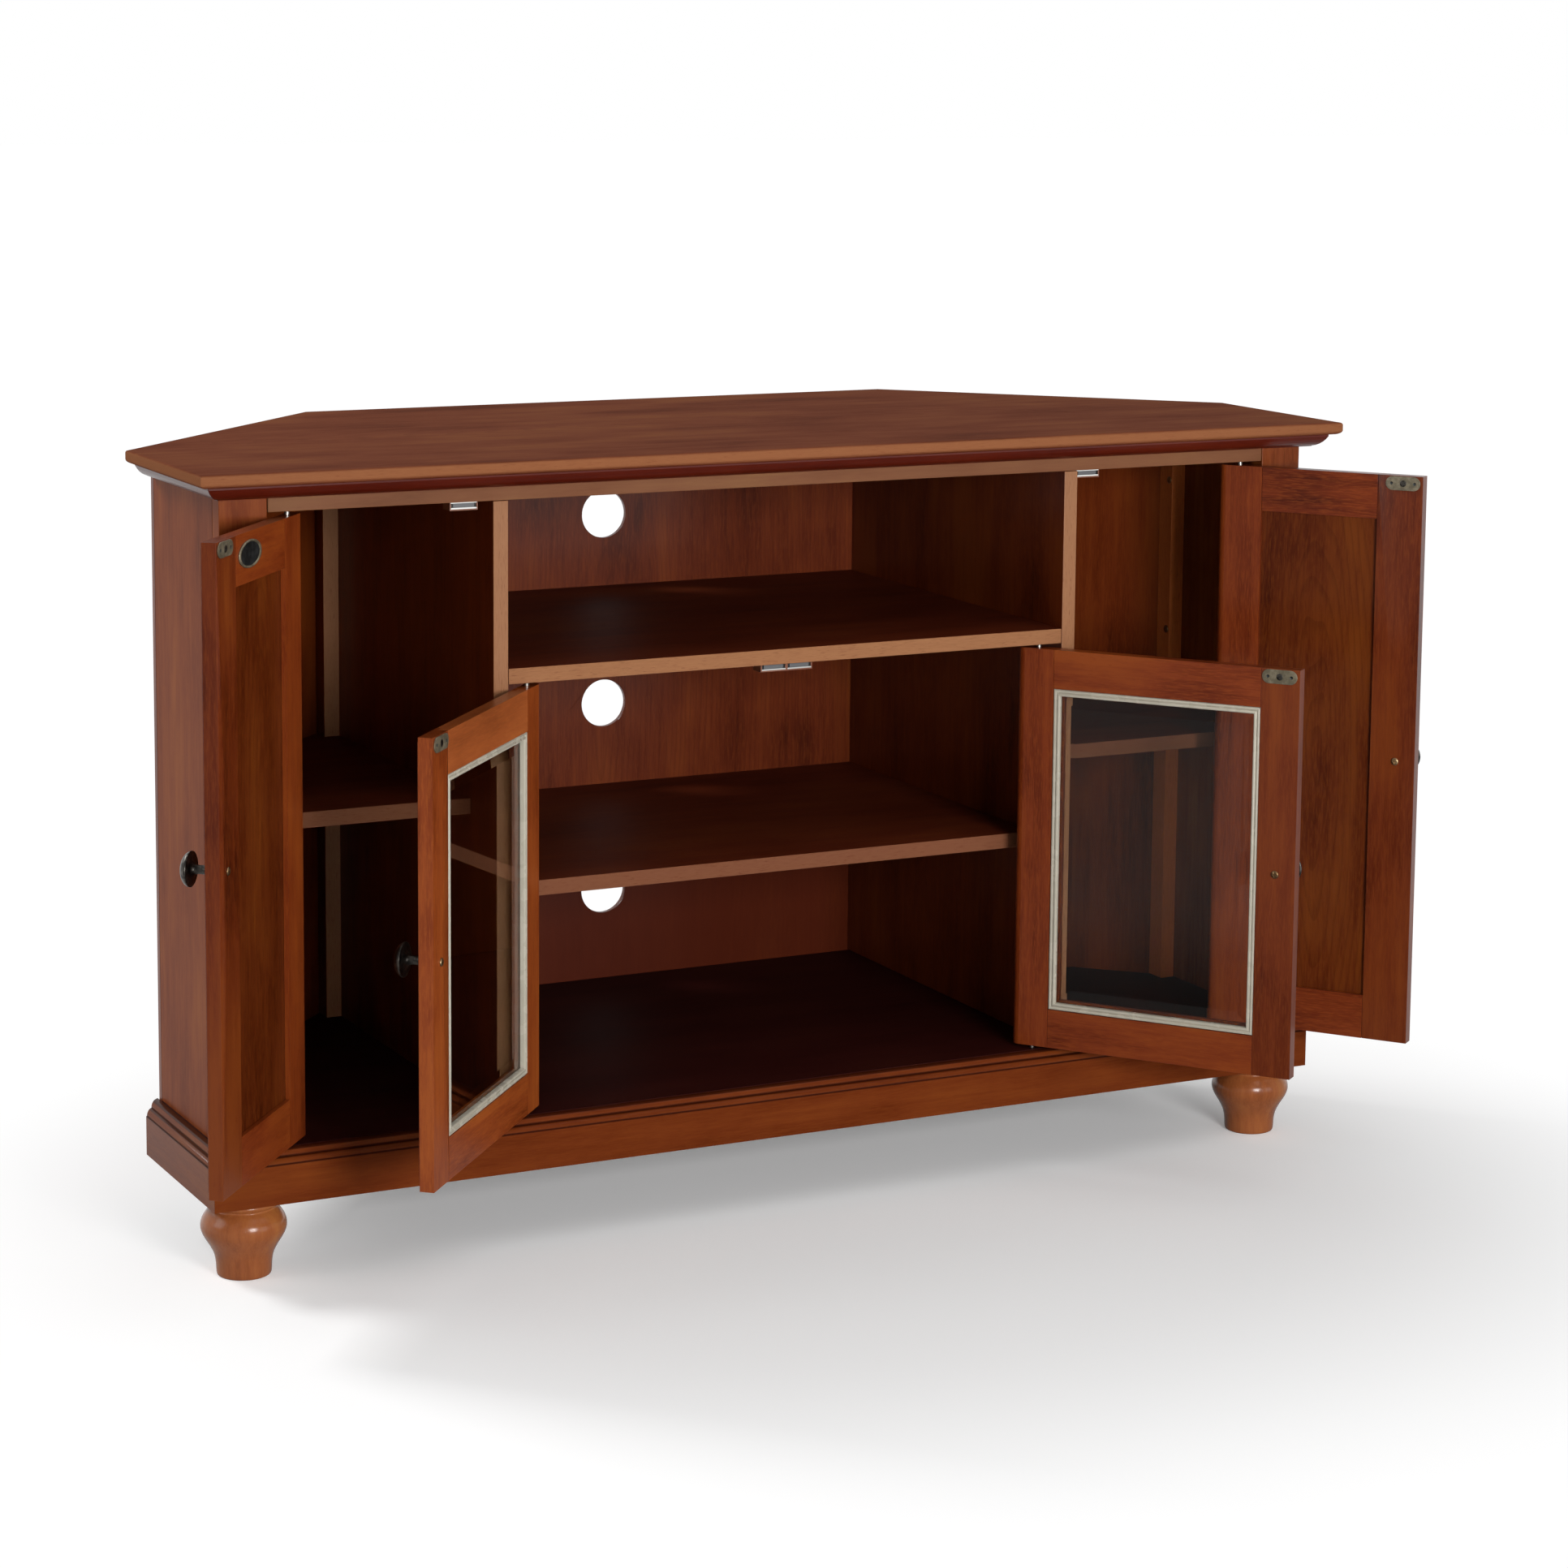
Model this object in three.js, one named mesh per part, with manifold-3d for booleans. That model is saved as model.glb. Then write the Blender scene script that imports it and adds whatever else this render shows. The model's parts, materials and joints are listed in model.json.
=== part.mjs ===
// Corner TV cabinet: a six-sided carcass with four pivot-hung doors, shown standing open.
//
// The plan has a long front, two short sides square to it, two 45 degree backs that fit a room's
// corner, and a narrow flat back. A moulded top overhangs the carcass with a mitred crown strip
// under its front and sides. Two dividers split the inside into a centre bay and two side bays.
// The centre bay has a fixed shelf, open above and closed below by two bevelled glass doors, and
// each side bay has a full-height panelled door. A mitred plinth with a double bead stands on
// turned feet.
//
// Lengths are millimetres and +Z is up. The model is drawn with x = 0 on the centre plane, y = 0
// on the top's front edge and z = 0 on the floor, then moved so that the origin is the bottom
// centre of the whole part with its doors open.

import * as THREE from 'three';
import { mergeVertices } from 'three/addons/utils/BufferGeometryUtils.js';
import Module from 'manifold-3d';

const wasm = await Module();
wasm.setup();

// Driving sizes

const fit = 0.3; // clearance between pieces that touch
const weldDistance = 0.0003;
const overrun = 2; // how far a cutter runs past the face it opens

const cabinetHeight = 755;
const topSideRun = 224; // each short side of the top
const topThickness = 12.5;
const topUpperRound = 2.5;
const topLowerRound = { run: 8, rise: 4.5 };

const frontOverhang = 36.6; // top's front edge to the carcass face
const sideOverhang = 28.5;
const diagonalOverhang = 11;
const backOverhang = 2;

const boardThickness = 15; // floor, shelves, dividers and inner top
const sideThickness = 12;
const backThickness = 6;
const faceThickness = 19; // stiles and top rail
const faceStileWidth = 45.4;
const topRailHeight = 14.4;
const topRailEndGap = 0.8;

const backCornerMargin = 2.9; // divider's outer face to the inner back corner
const cleatWidth = 16.5;
const cleatDepth = 24;

const footHeight = 74;
const floorRise = 50; // underside of the plinth to the cabinet floor
const centreShelfRise = 431.7; // cabinet floor to the shelf's top
const lowerShelfRise = 215;
const sideShelfRise = 298.3;
const lowerShelfSetback = 48;
const sideShelfSetback = 63.5;
const shelfSideClearance = 0.6;
const pegRadius = 2.5;
const pegLength = 9;
const pegInset = 42; // peg's centre to the shelf's front or back edge

const cableHoleRadius = 25.5;
const lowestHoleRise = 97.7; // cabinet floor to the lowest hole's centre
const highestHoleShare = 0.484; // of the open space's height, up from the fixed shelf

const crownReveal = 10.3; // top's edge to the crown's outer edge
const crownWidth = 30;
const crownHeight = 12.7;
const crownLip = 1.9;
const crownSweep = { run: 12.2, drop: 10.3 };
const crownBend = { run: 4.6, drop: 9 };

const plinthProjection = 17.1;
const plinthHeight = 49.5;
const plinthCapFlat = 3.8;
const plinthCapStep = 1.1;
const plinthCapFillet = 0.6;
const plinthEndProud = 3.5;

const footRadius = 40;
const footBlockWidth = 46; // square block above a foot, up to the cabinet floor's underside
const footInset = 41.5; // plinth's outer faces to the foot's axis
const rearFootInset = { side: 45, back: 60 };

const outerDoorWidth = 217;
const glassDoorWidth = 297.3;
const doorThickness = 16;
const doorTopGap = 3.8;
const doorBottomGap = 3.9;
const doorSideGap = 1.6;
const doorEdgeStep = { width: 5.5, depth: 2.5 }; // rebate round the front of each door
const pivotInset = 20; // hinge end of the door to its pivot
const pinRadius = 2.5;
const pinReach = 5; // how far a pin enters its socket
const pinClearance = 0.5;

const panelDoorStile = 47;
const panelDoorRail = 45;
const grooveDepth = 10;
const grooveWidth = 6;
const grooveBackLip = 4.5;
const panelFieldInset = 34;
const panelFieldStep = 1.2;

const glassDoorFrame = 39.5;
const glassRebate = { width: 9, depth: 10 };
const glassThickness = 4;
const glassEdgeThickness = 2;
const glassBevel = 20;
const beadWidth = 8.5;
const beadGroove = 1.2;

const knobRadius = 16;
const knobLength = 27;
const knobScrewRadius = 2;
const knobScrewClearance = 0.3;
const knobScrewHead = { radius: 4, height: 1.6 };
const knobEdgeInset = 20.5; // free edge of the door to the knob's axis

const strikeLength = 36;
const strikeHeight = 14;
const strikeThickness = 1;
const strikeScrewHead = { radius: 4, height: 0.3 };
const strikeTopInset = 7.7; // top of the door to the plate's centre line

const catchWidth = 28;
const catchHeight = 9.7;
const catchDepth = 17;
const catchFlange = { ear: 7.5, thickness: 1.2 };
const catchWall = 1.4; // plastic round the window in its front
const catchWindowDepth = 1.6;
const catchPole = { thickness: 1.3, proud: 0.4 };
const catchMagnet = { endGap: 2.2, setback: 0.5 };
const catchGap = 0.7; // strike plate's screw to the catch, with the door shut

const outerLeftAngle = 129.6; // each door's opening, in degrees
const glassLeftAngle = 131.7;
const glassRightAngle = 127.2;
const outerRightAngle = 126.6;

const arcSteps = 5;
const pegSides = 8;
const boreSides = 12;
const pinSides = 16;
const outletSides = 32;
const strikeEndSteps = 8;
const footSides = 28;
const knobSides = 20;

// Outlines as shares of the foot's and the knob's radius and length

const footShares = [
  [0.59, 0], [0.635, 0.03], [0.655, 0.18], [0.7, 0.29], [0.79, 0.39], [0.91, 0.495],
  [0.98, 0.575], [1, 0.65], [0.965, 0.735], [0.87, 0.82], [0.78, 0.875],
];
const footCollarShares = [
  [0.77, 0.895], [0.825, 0.915], [0.85, 0.945], [0.825, 0.975], [0.78, 1],
];
const knobShares = [
  [0.42, 0], [0.4, 0.03], [0.31, 0.1], [0.26, 0.22], [0.25, 0.4], [0.31, 0.54], [0.5, 0.62],
  [0.86, 0.645], [0.98, 0.665], [1, 0.695], [0.97, 0.75], [0.86, 0.84], [0.64, 0.925], [0.34, 0.98],
];

// Sizes that follow

const bayHalf = glassDoorWidth + 2 * doorSideGap; // of the centre bay
const dividerOuter = bayHalf + boardThickness;
const openingHalf = dividerOuter + outerDoorWidth + 2 * doorSideGap;
const bodyHalf = openingHalf + faceStileWidth;
const topHalf = bodyHalf + sideOverhang;
const sideInner = bodyHalf - sideThickness;
const faceY = frontOverhang;
const faceBackY = faceY + faceThickness;

// A 45 degree back is a line on which x + y is constant.
const topSum = topHalf + topSideRun;
const backOuterSum = topSum - diagonalOverhang * Math.SQRT2;
const backInnerSum = backOuterSum - backThickness * Math.SQRT2;
const carcassSum = backInnerSum - fit * Math.SQRT2;
const backInnerHalf = dividerOuter + backCornerMargin;
const backInnerY = backInnerSum - backInnerHalf;
const backOuterY = backInnerY + backThickness;
const carcassBackY = backInnerY - fit;
const topDepth = backOuterY + backOverhang;

const topUnderside = cabinetHeight - topThickness;
const crownTop = topUnderside - fit;
const crownBottom = crownTop - crownHeight;
const bodyTop = crownBottom - fit; // stiles, sides and top rail, under the crown
const railBottom = bodyTop - topRailHeight;
const floorTop = footHeight + floorRise;
const floorBottom = floorTop - boardThickness;
const standZ = floorTop + fit; // where uprights stand on the floor board
const centreShelfTop = floorTop + centreShelfRise;
const centreShelfBottom = centreShelfTop - boardThickness;

const pivotY = faceY + doorThickness / 2;
const outerPivotX = openingHalf - doorSideGap - pivotInset;
const glassPivotX = bayHalf - doorSideGap - pivotInset;
const doorBottom = floorTop + doorBottomGap;
const outerDoorTop = railBottom - doorTopGap;
const glassDoorTop = centreShelfBottom - doorTopGap;
const catchFrontY = faceY + doorThickness + strikeThickness + strikeScrewHead.height + fit + catchGap;

// Materials

const finish = (color, roughness, metalness = 0) =>
  new THREE.MeshStandardMaterial({ color, roughness, metalness });
const topWood = finish(0x6e4030, 0.3);
const caseWood = finish(0x7c4f33, 0.38);
const edgeWood = finish(0xa9714f, 0.4);
const innerWood = finish(0x4a2a1c, 0.5);
const doorWood = finish(0x6f2a12, 0.36);
const footWood = finish(0x9a5428, 0.25);
const pewter = finish(0x3c3a38, 0.35, 0.85);
const brass = finish(0x8d7c66, 0.35, 0.9);
const brownPlastic = finish(0x4b3527, 0.55);
const clearPlastic = finish(0xd9d6cf, 0.25);
const glass = new THREE.MeshStandardMaterial({
  color: 0xb9bfbd, roughness: 0.05, transparent: true, opacity: 0.35,
});

// Geometry helpers

// Keeps positions only, joins equal corners and drops triangles that have collapsed.
function welded(geometry) {
  const bare = geometry.clone();
  for (const name of Object.keys(bare.attributes)) {
    if (name !== 'position') bare.deleteAttribute(name);
  }
  const merged = mergeVertices(bare, weldDistance);
  const corners = merged.index.array;
  const kept = [];
  for (let i = 0; i < corners.length; i += 3) {
    const [a, b, c] = [corners[i], corners[i + 1], corners[i + 2]];
    if (a !== b && b !== c && c !== a) kept.push(a, b, c);
  }
  merged.setIndex(kept);
  return merged;
}

function solid(geometry) {
  const merged = welded(geometry);
  return new wasm.Manifold(new wasm.Mesh({
    numProp: 3,
    vertProperties: new Float32Array(merged.attributes.position.array),
    triVerts: new Uint32Array(merged.index.array),
  }));
}

function geometryOf(manifold) {
  const mesh = manifold.getMesh();
  const geometry = new THREE.BufferGeometry();
  geometry.setAttribute('position', new THREE.BufferAttribute(mesh.vertProperties, 3));
  geometry.setIndex(new THREE.BufferAttribute(mesh.triVerts, 1));
  geometry.computeVertexNormals();
  return geometry;
}

function joined(...geometries) {
  return geometryOf(geometries.map(solid).reduce((whole, piece) => whole.add(piece)));
}

function cut(geometry, ...cutters) {
  const whole = solid(geometry);
  return geometryOf(cutters.map(solid).reduce((rest, cutter) => rest.subtract(cutter), whole));
}

function enclosedVolume(points, triangles) {
  let volume = 0;
  for (const [a, b, c] of triangles) {
    volume += points[a].dot(points[b].clone().cross(points[c])) / 6;
  }
  return volume;
}

// Skins a stack of rings that have the same number of points. An open stack is capped with
// the triangles of its section; a closed one, such as a frame, joins its last ring to its first.
function loft(rings, section, closedLoop = false) {
  const size = rings[0].length;
  const points = rings.flat();
  const triangles = [];
  const spans = closedLoop ? rings.length : rings.length - 1;
  for (let r = 0; r < spans; r += 1) {
    const near = r * size;
    const far = ((r + 1) % rings.length) * size;
    for (let i = 0; i < size; i += 1) {
      const j = (i + 1) % size;
      triangles.push([near + i, near + j, far + j], [near + i, far + j, far + i]);
    }
  }
  if (!closedLoop) {
    const last = (rings.length - 1) * size;
    const turn = THREE.ShapeUtils.area(section) > 0;
    for (const [a, b, c] of THREE.ShapeUtils.triangulateShape(section, [])) {
      triangles.push(turn ? [a, c, b] : [a, b, c]);
      triangles.push(turn ? [last + a, last + b, last + c] : [last + a, last + c, last + b]);
    }
  }
  const inward = enclosedVolume(points, triangles) < 0;
  const geometry = new THREE.BufferGeometry().setFromPoints(points);
  geometry.setIndex(triangles.flatMap(([a, b, c]) => (inward ? [a, c, b] : [a, b, c])));
  geometry.computeVertexNormals();
  return geometry;
}

// An upright prism on a plan outline, from z = low to z = high.
function prism(outline, low, high) {
  const shape = new THREE.Shape(outline.map(([x, y]) => new THREE.Vector2(x, y)));
  const geometry = new THREE.ExtrudeGeometry(shape, { depth: high - low, bevelEnabled: false });
  return geometry.translate(0, 0, low);
}

function block(low, high) {
  const size = high.map((value, i) => value - low[i]);
  const centre = high.map((value, i) => (value + low[i]) / 2);
  return new THREE.BoxGeometry(...size).translate(...centre);
}

// A turned form on the z axis: its outline is [radius, z] pairs and closes on the axis.
function turned(outline, sides) {
  const closed = [[0, outline[0][1]], ...outline, [0, outline.at(-1)[1]]];
  const profile = closed.map(([radius, z]) => new THREE.Vector2(radius, z));
  return new THREE.LatheGeometry(profile, sides).rotateX(Math.PI / 2);
}

function cylinder(radius, low, high, sides = pinSides) {
  return turned([[radius, low], [radius, high]], sides);
}

function quarterArc(centre, radii, from) {
  const points = [];
  for (let i = 0; i <= arcSteps; i += 1) {
    const angle = from + (i / arcSteps) * (Math.PI / 2);
    points.push([centre[0] + radii[0] * Math.cos(angle), centre[1] + radii[1] * Math.sin(angle)]);
  }
  return points;
}

// Turns a left-hand piece into its right-hand twin.
function mirrored(geometry) {
  const twin = welded(geometry).scale(-1, 1, 1);
  const corners = twin.index.array;
  for (let i = 0; i < corners.length; i += 3) {
    [corners[i], corners[i + 1]] = [corners[i + 1], corners[i]];
  }
  twin.computeVertexNormals();
  return twin;
}

function handed(geometry, hand) {
  return hand < 0 ? geometry : mirrored(geometry);
}

const cabinet = new THREE.Group();

function add(name, geometry, material, parent = cabinet) {
  const mesh = new THREE.Mesh(geometry, material);
  mesh.name = name;
  parent.add(mesh);
  return mesh;
}

// Adds a piece drawn for the left side, and its twin on the right.
function addPair(name, geometry, material) {
  add(`${name}_left`, geometry, material);
  add(`${name}_right`, mirrored(geometry), material);
}

// Top: a six-sided slab whose edge is rounded above and swept in below

function topRing(inset, z) {
  const half = topHalf - inset;
  const sum = topSum - inset * Math.SQRT2;
  const back = topDepth - inset;
  const plan = [
    [-half, inset], [half, inset], [half, sum - half],
    [sum - back, back], [back - sum, back], [-half, sum - half],
  ];
  return plan.map(([x, y]) => new THREE.Vector3(x, y, z));
}

function topPanel() {
  const upperZ = cabinetHeight - topUpperRound;
  const lowerZ = topUnderside + topLowerRound.rise;
  const lower = quarterArc([topLowerRound.run, lowerZ], [topLowerRound.run, topLowerRound.rise], Math.PI);
  const upper = quarterArc([topUpperRound, upperZ], [topUpperRound, topUpperRound], Math.PI / 2);
  const edge = [...lower.reverse(), ...upper.reverse()];
  const rings = edge.map(([inset, z]) => topRing(inset, z));
  return loft(rings, rings[0].map((p) => new THREE.Vector2(p.x, p.y)));
}

add('top_panel', topPanel(), topWood);

// Crown: flat strips with an ovolo edge, laid between the top and the carcass and mitred at the
// front corners

const crownOuter = topHalf - crownReveal;
const crownEndY = carcassSum - bodyHalf - fit; // short of the diagonal back's edge

function toSection(points) {
  return points.map(([x, y]) => new THREE.Vector2(x, y));
}

// The crown's section as [distance in from its outer edge, z].
function crownSection() {
  const lipZ = crownTop - crownLip;
  const sweep = new THREE.QuadraticBezierCurve(
    new THREE.Vector2(0, lipZ),
    new THREE.Vector2(crownBend.run, lipZ - crownBend.drop),
    new THREE.Vector2(crownSweep.run, lipZ - crownSweep.drop),
  );
  const face = sweep.getPoints(arcSteps).map((p) => [p.x, p.y]);
  return [
    [0, crownTop], ...face, [crownSweep.run, crownBottom],
    [crownWidth, crownBottom], [crownWidth, crownTop],
  ];
}

function crownFront() {
  const section = crownSection();
  const end = (side) => section.map(([inset, z]) => (
    new THREE.Vector3(side * (crownOuter - inset - fit / 2), crownReveal + inset, z)
  ));
  return loft([end(-1), end(1)], toSection(section));
}

function crownSide() {
  const section = crownSection();
  const front = section.map(([inset, z]) => (
    new THREE.Vector3(inset - crownOuter, crownReveal + inset + fit / 2, z)
  ));
  const back = section.map(([inset, z]) => new THREE.Vector3(inset - crownOuter, crownEndY, z));
  return loft([front, back], toSection(section));
}

add('crown_front', crownFront(), topWood);
addPair('crown', crownSide(), topWood);

// Plinth: boards with a double bead, mitred at the front corners

function plinthSection() {
  const beadRadius = (plinthProjection - plinthCapFlat - 2 * plinthCapStep) / 2;
  const faceTop = plinthHeight - 2 * beadRadius - plinthCapFillet;
  const lowerCentre = [plinthProjection - plinthCapStep - beadRadius, faceTop];
  const upperCentre = [plinthCapFlat, faceTop + beadRadius + plinthCapFillet];
  return [
    [fit, 0],
    [plinthProjection, 0],
    [plinthProjection, faceTop],
    ...quarterArc(lowerCentre, [beadRadius, beadRadius], 0),
    [plinthCapFlat + beadRadius, faceTop + beadRadius],
    ...quarterArc(upperCentre, [beadRadius, beadRadius], 0),
    [fit, plinthHeight],
  ];
}

function plinthFront() {
  const section = plinthSection();
  const end = (side) => section.map(([out, z]) => (
    new THREE.Vector3(side * (bodyHalf + out - fit / 2), faceY - out, footHeight + z)
  ));
  return loft([end(-1), end(1)], toSection(section));
}

function plinthSide() {
  const section = plinthSection();
  const endSum = backOuterSum + plinthEndProud * Math.SQRT2;
  const front = section.map(([out, z]) => (
    new THREE.Vector3(-bodyHalf - out, faceY - out + fit / 2, footHeight + z)
  ));
  const back = section.map(([out, z]) => (
    new THREE.Vector3(-bodyHalf - out, endSum - bodyHalf - out, footHeight + z)
  ));
  return loft([front, back], toSection(section));
}

add('plinth_front', plinthFront(), caseWood);
addPair('plinth', plinthSide(), caseWood);

// Feet: turned bulbs under square blocks that rise inside the plinth to the floor board

function foot() {
  const bulb = new THREE.SplineCurve(footShares.map(([r, z]) => (
    new THREE.Vector2(r * footRadius, z * footHeight)
  )));
  const outline = [
    ...bulb.getPoints(footShares.length + arcSteps).map((p) => [p.x, p.y]),
    ...footCollarShares.map(([r, z]) => [r * footRadius, z * (footHeight - fit)]),
  ];
  const half = footBlockWidth / 2;
  const riser = block([-half, -half, footHeight - overrun], [half, half, floorBottom - fit]);
  return joined(turned(outline, footSides), riser);
}

const frontFoot = { x: bodyHalf + plinthProjection - footInset, y: faceY - plinthProjection + footInset };
const rearFoot = { x: backInnerHalf - rearFootInset.side, y: backInnerY - rearFootInset.back };
for (const [place, spot] of [['front', frontFoot], ['rear', rearFoot]]) {
  for (const [side, hand] of [['left', -1], ['right', 1]]) {
    const piece = add(`foot_${place}_${side}`, foot(), footWood);
    piece.position.set(hand * spot.x, spot.y, 0);
  }
}

// Carcass boards

// Sockets for the pivot pins, sunk from z = face towards z = end.
function sockets(spots, face, end) {
  const low = Math.min(face, end);
  const high = Math.max(face, end);
  return spots.map((x) => cylinder(pinRadius + pinClearance, low, high).translate(x, pivotY, 0));
}

const socketDepth = pinReach + fit;
const outerPivots = [-outerPivotX, outerPivotX];
const glassPivots = [-glassPivotX, glassPivotX];

function hexagon(half, front) {
  return [
    [-half, front], [half, front], [half, carcassSum - half], [carcassSum - carcassBackY, carcassBackY],
    [carcassBackY - carcassSum, carcassBackY], [-half, carcassSum - half],
  ];
}

const floorBoard = prism(hexagon(bodyHalf, faceY), floorBottom, floorTop);
const floorPivots = [...outerPivots, ...glassPivots];
const floorSockets = sockets(floorPivots, floorTop + overrun, floorTop - socketDepth);
add('floor_panel', cut(floorBoard, ...floorSockets), innerWood);

const innerTopFront = faceBackY + fit;
const innerTop = prism(hexagon(sideInner - fit, innerTopFront), railBottom, railBottom + boardThickness);
add('inner_top', innerTop, innerWood);

const railHalf = openingHalf - topRailEndGap;
const rail = block([-railHalf, faceY, railBottom], [railHalf, faceBackY, bodyTop]);
const railSockets = sockets(outerPivots, railBottom - overrun, railBottom + socketDepth);
add('top_rail', cut(rail, ...railSockets), edgeWood);

addPair('stile', block([-bodyHalf, faceY, standZ], [-openingHalf, faceBackY, bodyTop]), caseWood);

const uprightTop = railBottom - fit; // dividers and cleats, under the inner top

// A short side, with the corner cleat that takes the diagonal back screwed to its inner face.
function sidePanel() {
  const cleatInner = sideInner - cleatWidth;
  const cleatFront = carcassSum - cleatInner - cleatDepth;
  const panel = [
    [-bodyHalf, faceBackY + fit], [-sideInner, faceBackY + fit],
    [-sideInner, carcassSum - sideInner], [-bodyHalf, carcassSum - bodyHalf],
  ];
  const cleat = [
    [-sideInner - overrun, cleatFront], [-cleatInner, cleatFront],
    [-cleatInner, carcassSum - cleatInner], [-sideInner - overrun, carcassSum - sideInner - overrun],
  ];
  return joined(prism(panel, standZ, bodyTop), prism(cleat, standZ, uprightTop));
}

addPair('side_panel', sidePanel(), caseWood);

// A divider, with its own cleat behind.
function divider() {
  const cleatOuter = dividerOuter + cleatWidth;
  const cleatFront = carcassSum - cleatOuter - cleatDepth;
  const outline = [
    [-bayHalf, faceY], [-bayHalf, carcassBackY], [carcassBackY - carcassSum, carcassBackY],
    [-cleatOuter, carcassSum - cleatOuter], [-cleatOuter, cleatFront],
    [-dividerOuter, cleatFront], [-dividerOuter, faceY],
  ];
  return prism(outline, standZ, uprightTop);
}

addPair('divider', divider(), edgeWood);

// The back, with a cable outlet behind each space of the centre bay.
function backPanel() {
  const half = backInnerHalf - fit;
  const corners = [[-half, floorBottom], [half, floorBottom], [half, crownTop], [-half, crownTop]];
  const shape = new THREE.Shape(toSection(corners));
  const highest = centreShelfTop + highestHoleShare * (railBottom - centreShelfTop);
  const lowest = floorTop + lowestHoleRise;
  for (const z of [lowest, (lowest + highest) / 2, highest]) {
    const outlet = new THREE.Path();
    outlet.absarc(0, z, cableHoleRadius, 0, 2 * Math.PI, true);
    shape.holes.push(outlet);
  }
  const geometry = new THREE.ExtrudeGeometry(shape, {
    depth: backThickness, bevelEnabled: false, curveSegments: outletSides,
  });
  return geometry.rotateX(Math.PI / 2).translate(0, backOuterY, 0);
}

add('back_panel', backPanel(), innerWood);

function diagonalBack() {
  const outline = [
    [-bodyHalf, backInnerSum - bodyHalf], [-backInnerHalf, backInnerY], [-backInnerHalf, backOuterY],
    [backOuterY - backOuterSum, backOuterY], [-bodyHalf, backOuterSum - bodyHalf],
  ];
  return prism(outline, floorBottom, crownTop);
}

addPair('diagonal_back', diagonalBack(), innerWood);

// Shelves

// Pegs under a shelf, in two rows that start at the uprights on either side.
function pegs(left, right, underside, rows) {
  const made = [];
  for (const y of rows) {
    for (const [start, end] of [[left, left + pegLength], [right - pegLength, right]]) {
      const peg = cylinder(pegRadius, start, end, pegSides).rotateY(Math.PI / 2);
      made.push(peg.translate(0, y, underside - pegRadius + fit));
    }
  }
  return made;
}

const centreShelfHalf = bayHalf - fit;
const centreShelf = block(
  [-centreShelfHalf, faceY, centreShelfBottom], [centreShelfHalf, carcassBackY, centreShelfTop],
);
const shelfSockets = sockets(glassPivots, centreShelfBottom - overrun, centreShelfBottom + socketDepth);
add('centre_shelf', cut(centreShelf, ...shelfSockets), edgeWood);

function lowerShelf() {
  const half = bayHalf - shelfSideClearance;
  const front = faceY + lowerShelfSetback;
  const top = floorTop + lowerShelfRise;
  const board = block([-half, front, top - boardThickness], [half, carcassBackY, top]);
  const rows = [front + pegInset, carcassBackY - pegInset];
  return joined(board, ...pegs(-bayHalf + fit, bayHalf - fit, top - boardThickness, rows));
}

add('lower_shelf', lowerShelf(), edgeWood);

// Notched round both cleats of its bay, with a diagonal back edge.
function sideShelf() {
  const outer = sideInner - shelfSideClearance;
  const inner = dividerOuter + shelfSideClearance;
  const outerNotch = sideInner - cleatWidth - shelfSideClearance;
  const innerNotch = dividerOuter + cleatWidth + shelfSideClearance;
  const shelfSum = carcassSum - shelfSideClearance;
  const outerNotchY = carcassSum - (sideInner - cleatWidth) - cleatDepth - shelfSideClearance;
  const innerNotchY = carcassSum - (dividerOuter + cleatWidth) - cleatDepth - shelfSideClearance;
  const front = faceY + sideShelfSetback;
  const top = floorTop + sideShelfRise;
  const outline = [
    [-outer, front], [-inner, front], [-inner, innerNotchY], [-innerNotch, innerNotchY],
    [-innerNotch, shelfSum - innerNotch], [-outerNotch, shelfSum - outerNotch],
    [-outerNotch, outerNotchY], [-outer, outerNotchY],
  ];
  const board = prism(outline, top - boardThickness, top);
  const rows = [front + pegInset, outerNotchY - pegInset];
  return joined(board, ...pegs(-sideInner + fit, -dividerOuter - fit, top - boardThickness, rows));
}

addPair('side_shelf', sideShelf(), edgeWood);

// Magnetic catches, screwed under the inner top and the fixed shelf

// Some plastic cases side by side under one flange. The front of each has a window, where two
// steel pole plates lie above and below a magnet.
function magnetCatch(magnets) {
  const half = (magnets * catchWidth) / 2;
  const flangeHalf = half + catchFlange.ear;
  const windowHalf = catchWidth / 2 - catchWall;
  const windowTop = -catchFlange.thickness - fit;
  const windowBottom = catchWall - catchHeight;
  const magnetHalf = windowHalf - catchMagnet.endGap;
  const windowBack = catchWindowDepth + fit;
  const windows = [];
  const steel = [];
  for (let i = 0; i < magnets; i += 1) {
    const middle = (i + 0.5) * catchWidth - half;
    const slab = (reach, frontY, low, high) => (
      block([middle - reach, frontY, low], [middle + reach, windowBack, high])
    );
    windows.push(block(
      [middle - windowHalf, -overrun, windowBottom], [middle + windowHalf, catchWindowDepth, windowTop],
    ));
    steel.push(
      slab(windowHalf + fit, -catchPole.proud, windowTop - catchPole.thickness, windowTop),
      slab(windowHalf + fit, -catchPole.proud, windowBottom, windowBottom + catchPole.thickness),
      slab(
        magnetHalf, catchMagnet.setback,
        windowBottom + catchPole.thickness / 2, windowTop - catchPole.thickness / 2,
      ),
    );
  }
  const cases = joined(
    block([-flangeHalf, 0, -catchFlange.thickness], [flangeHalf, catchDepth, 0]),
    block([-half, 0, -catchHeight], [half, catchDepth, -catchFlange.thickness / 2]),
  );
  return joined(cut(cases, ...windows), ...steel);
}

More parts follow.
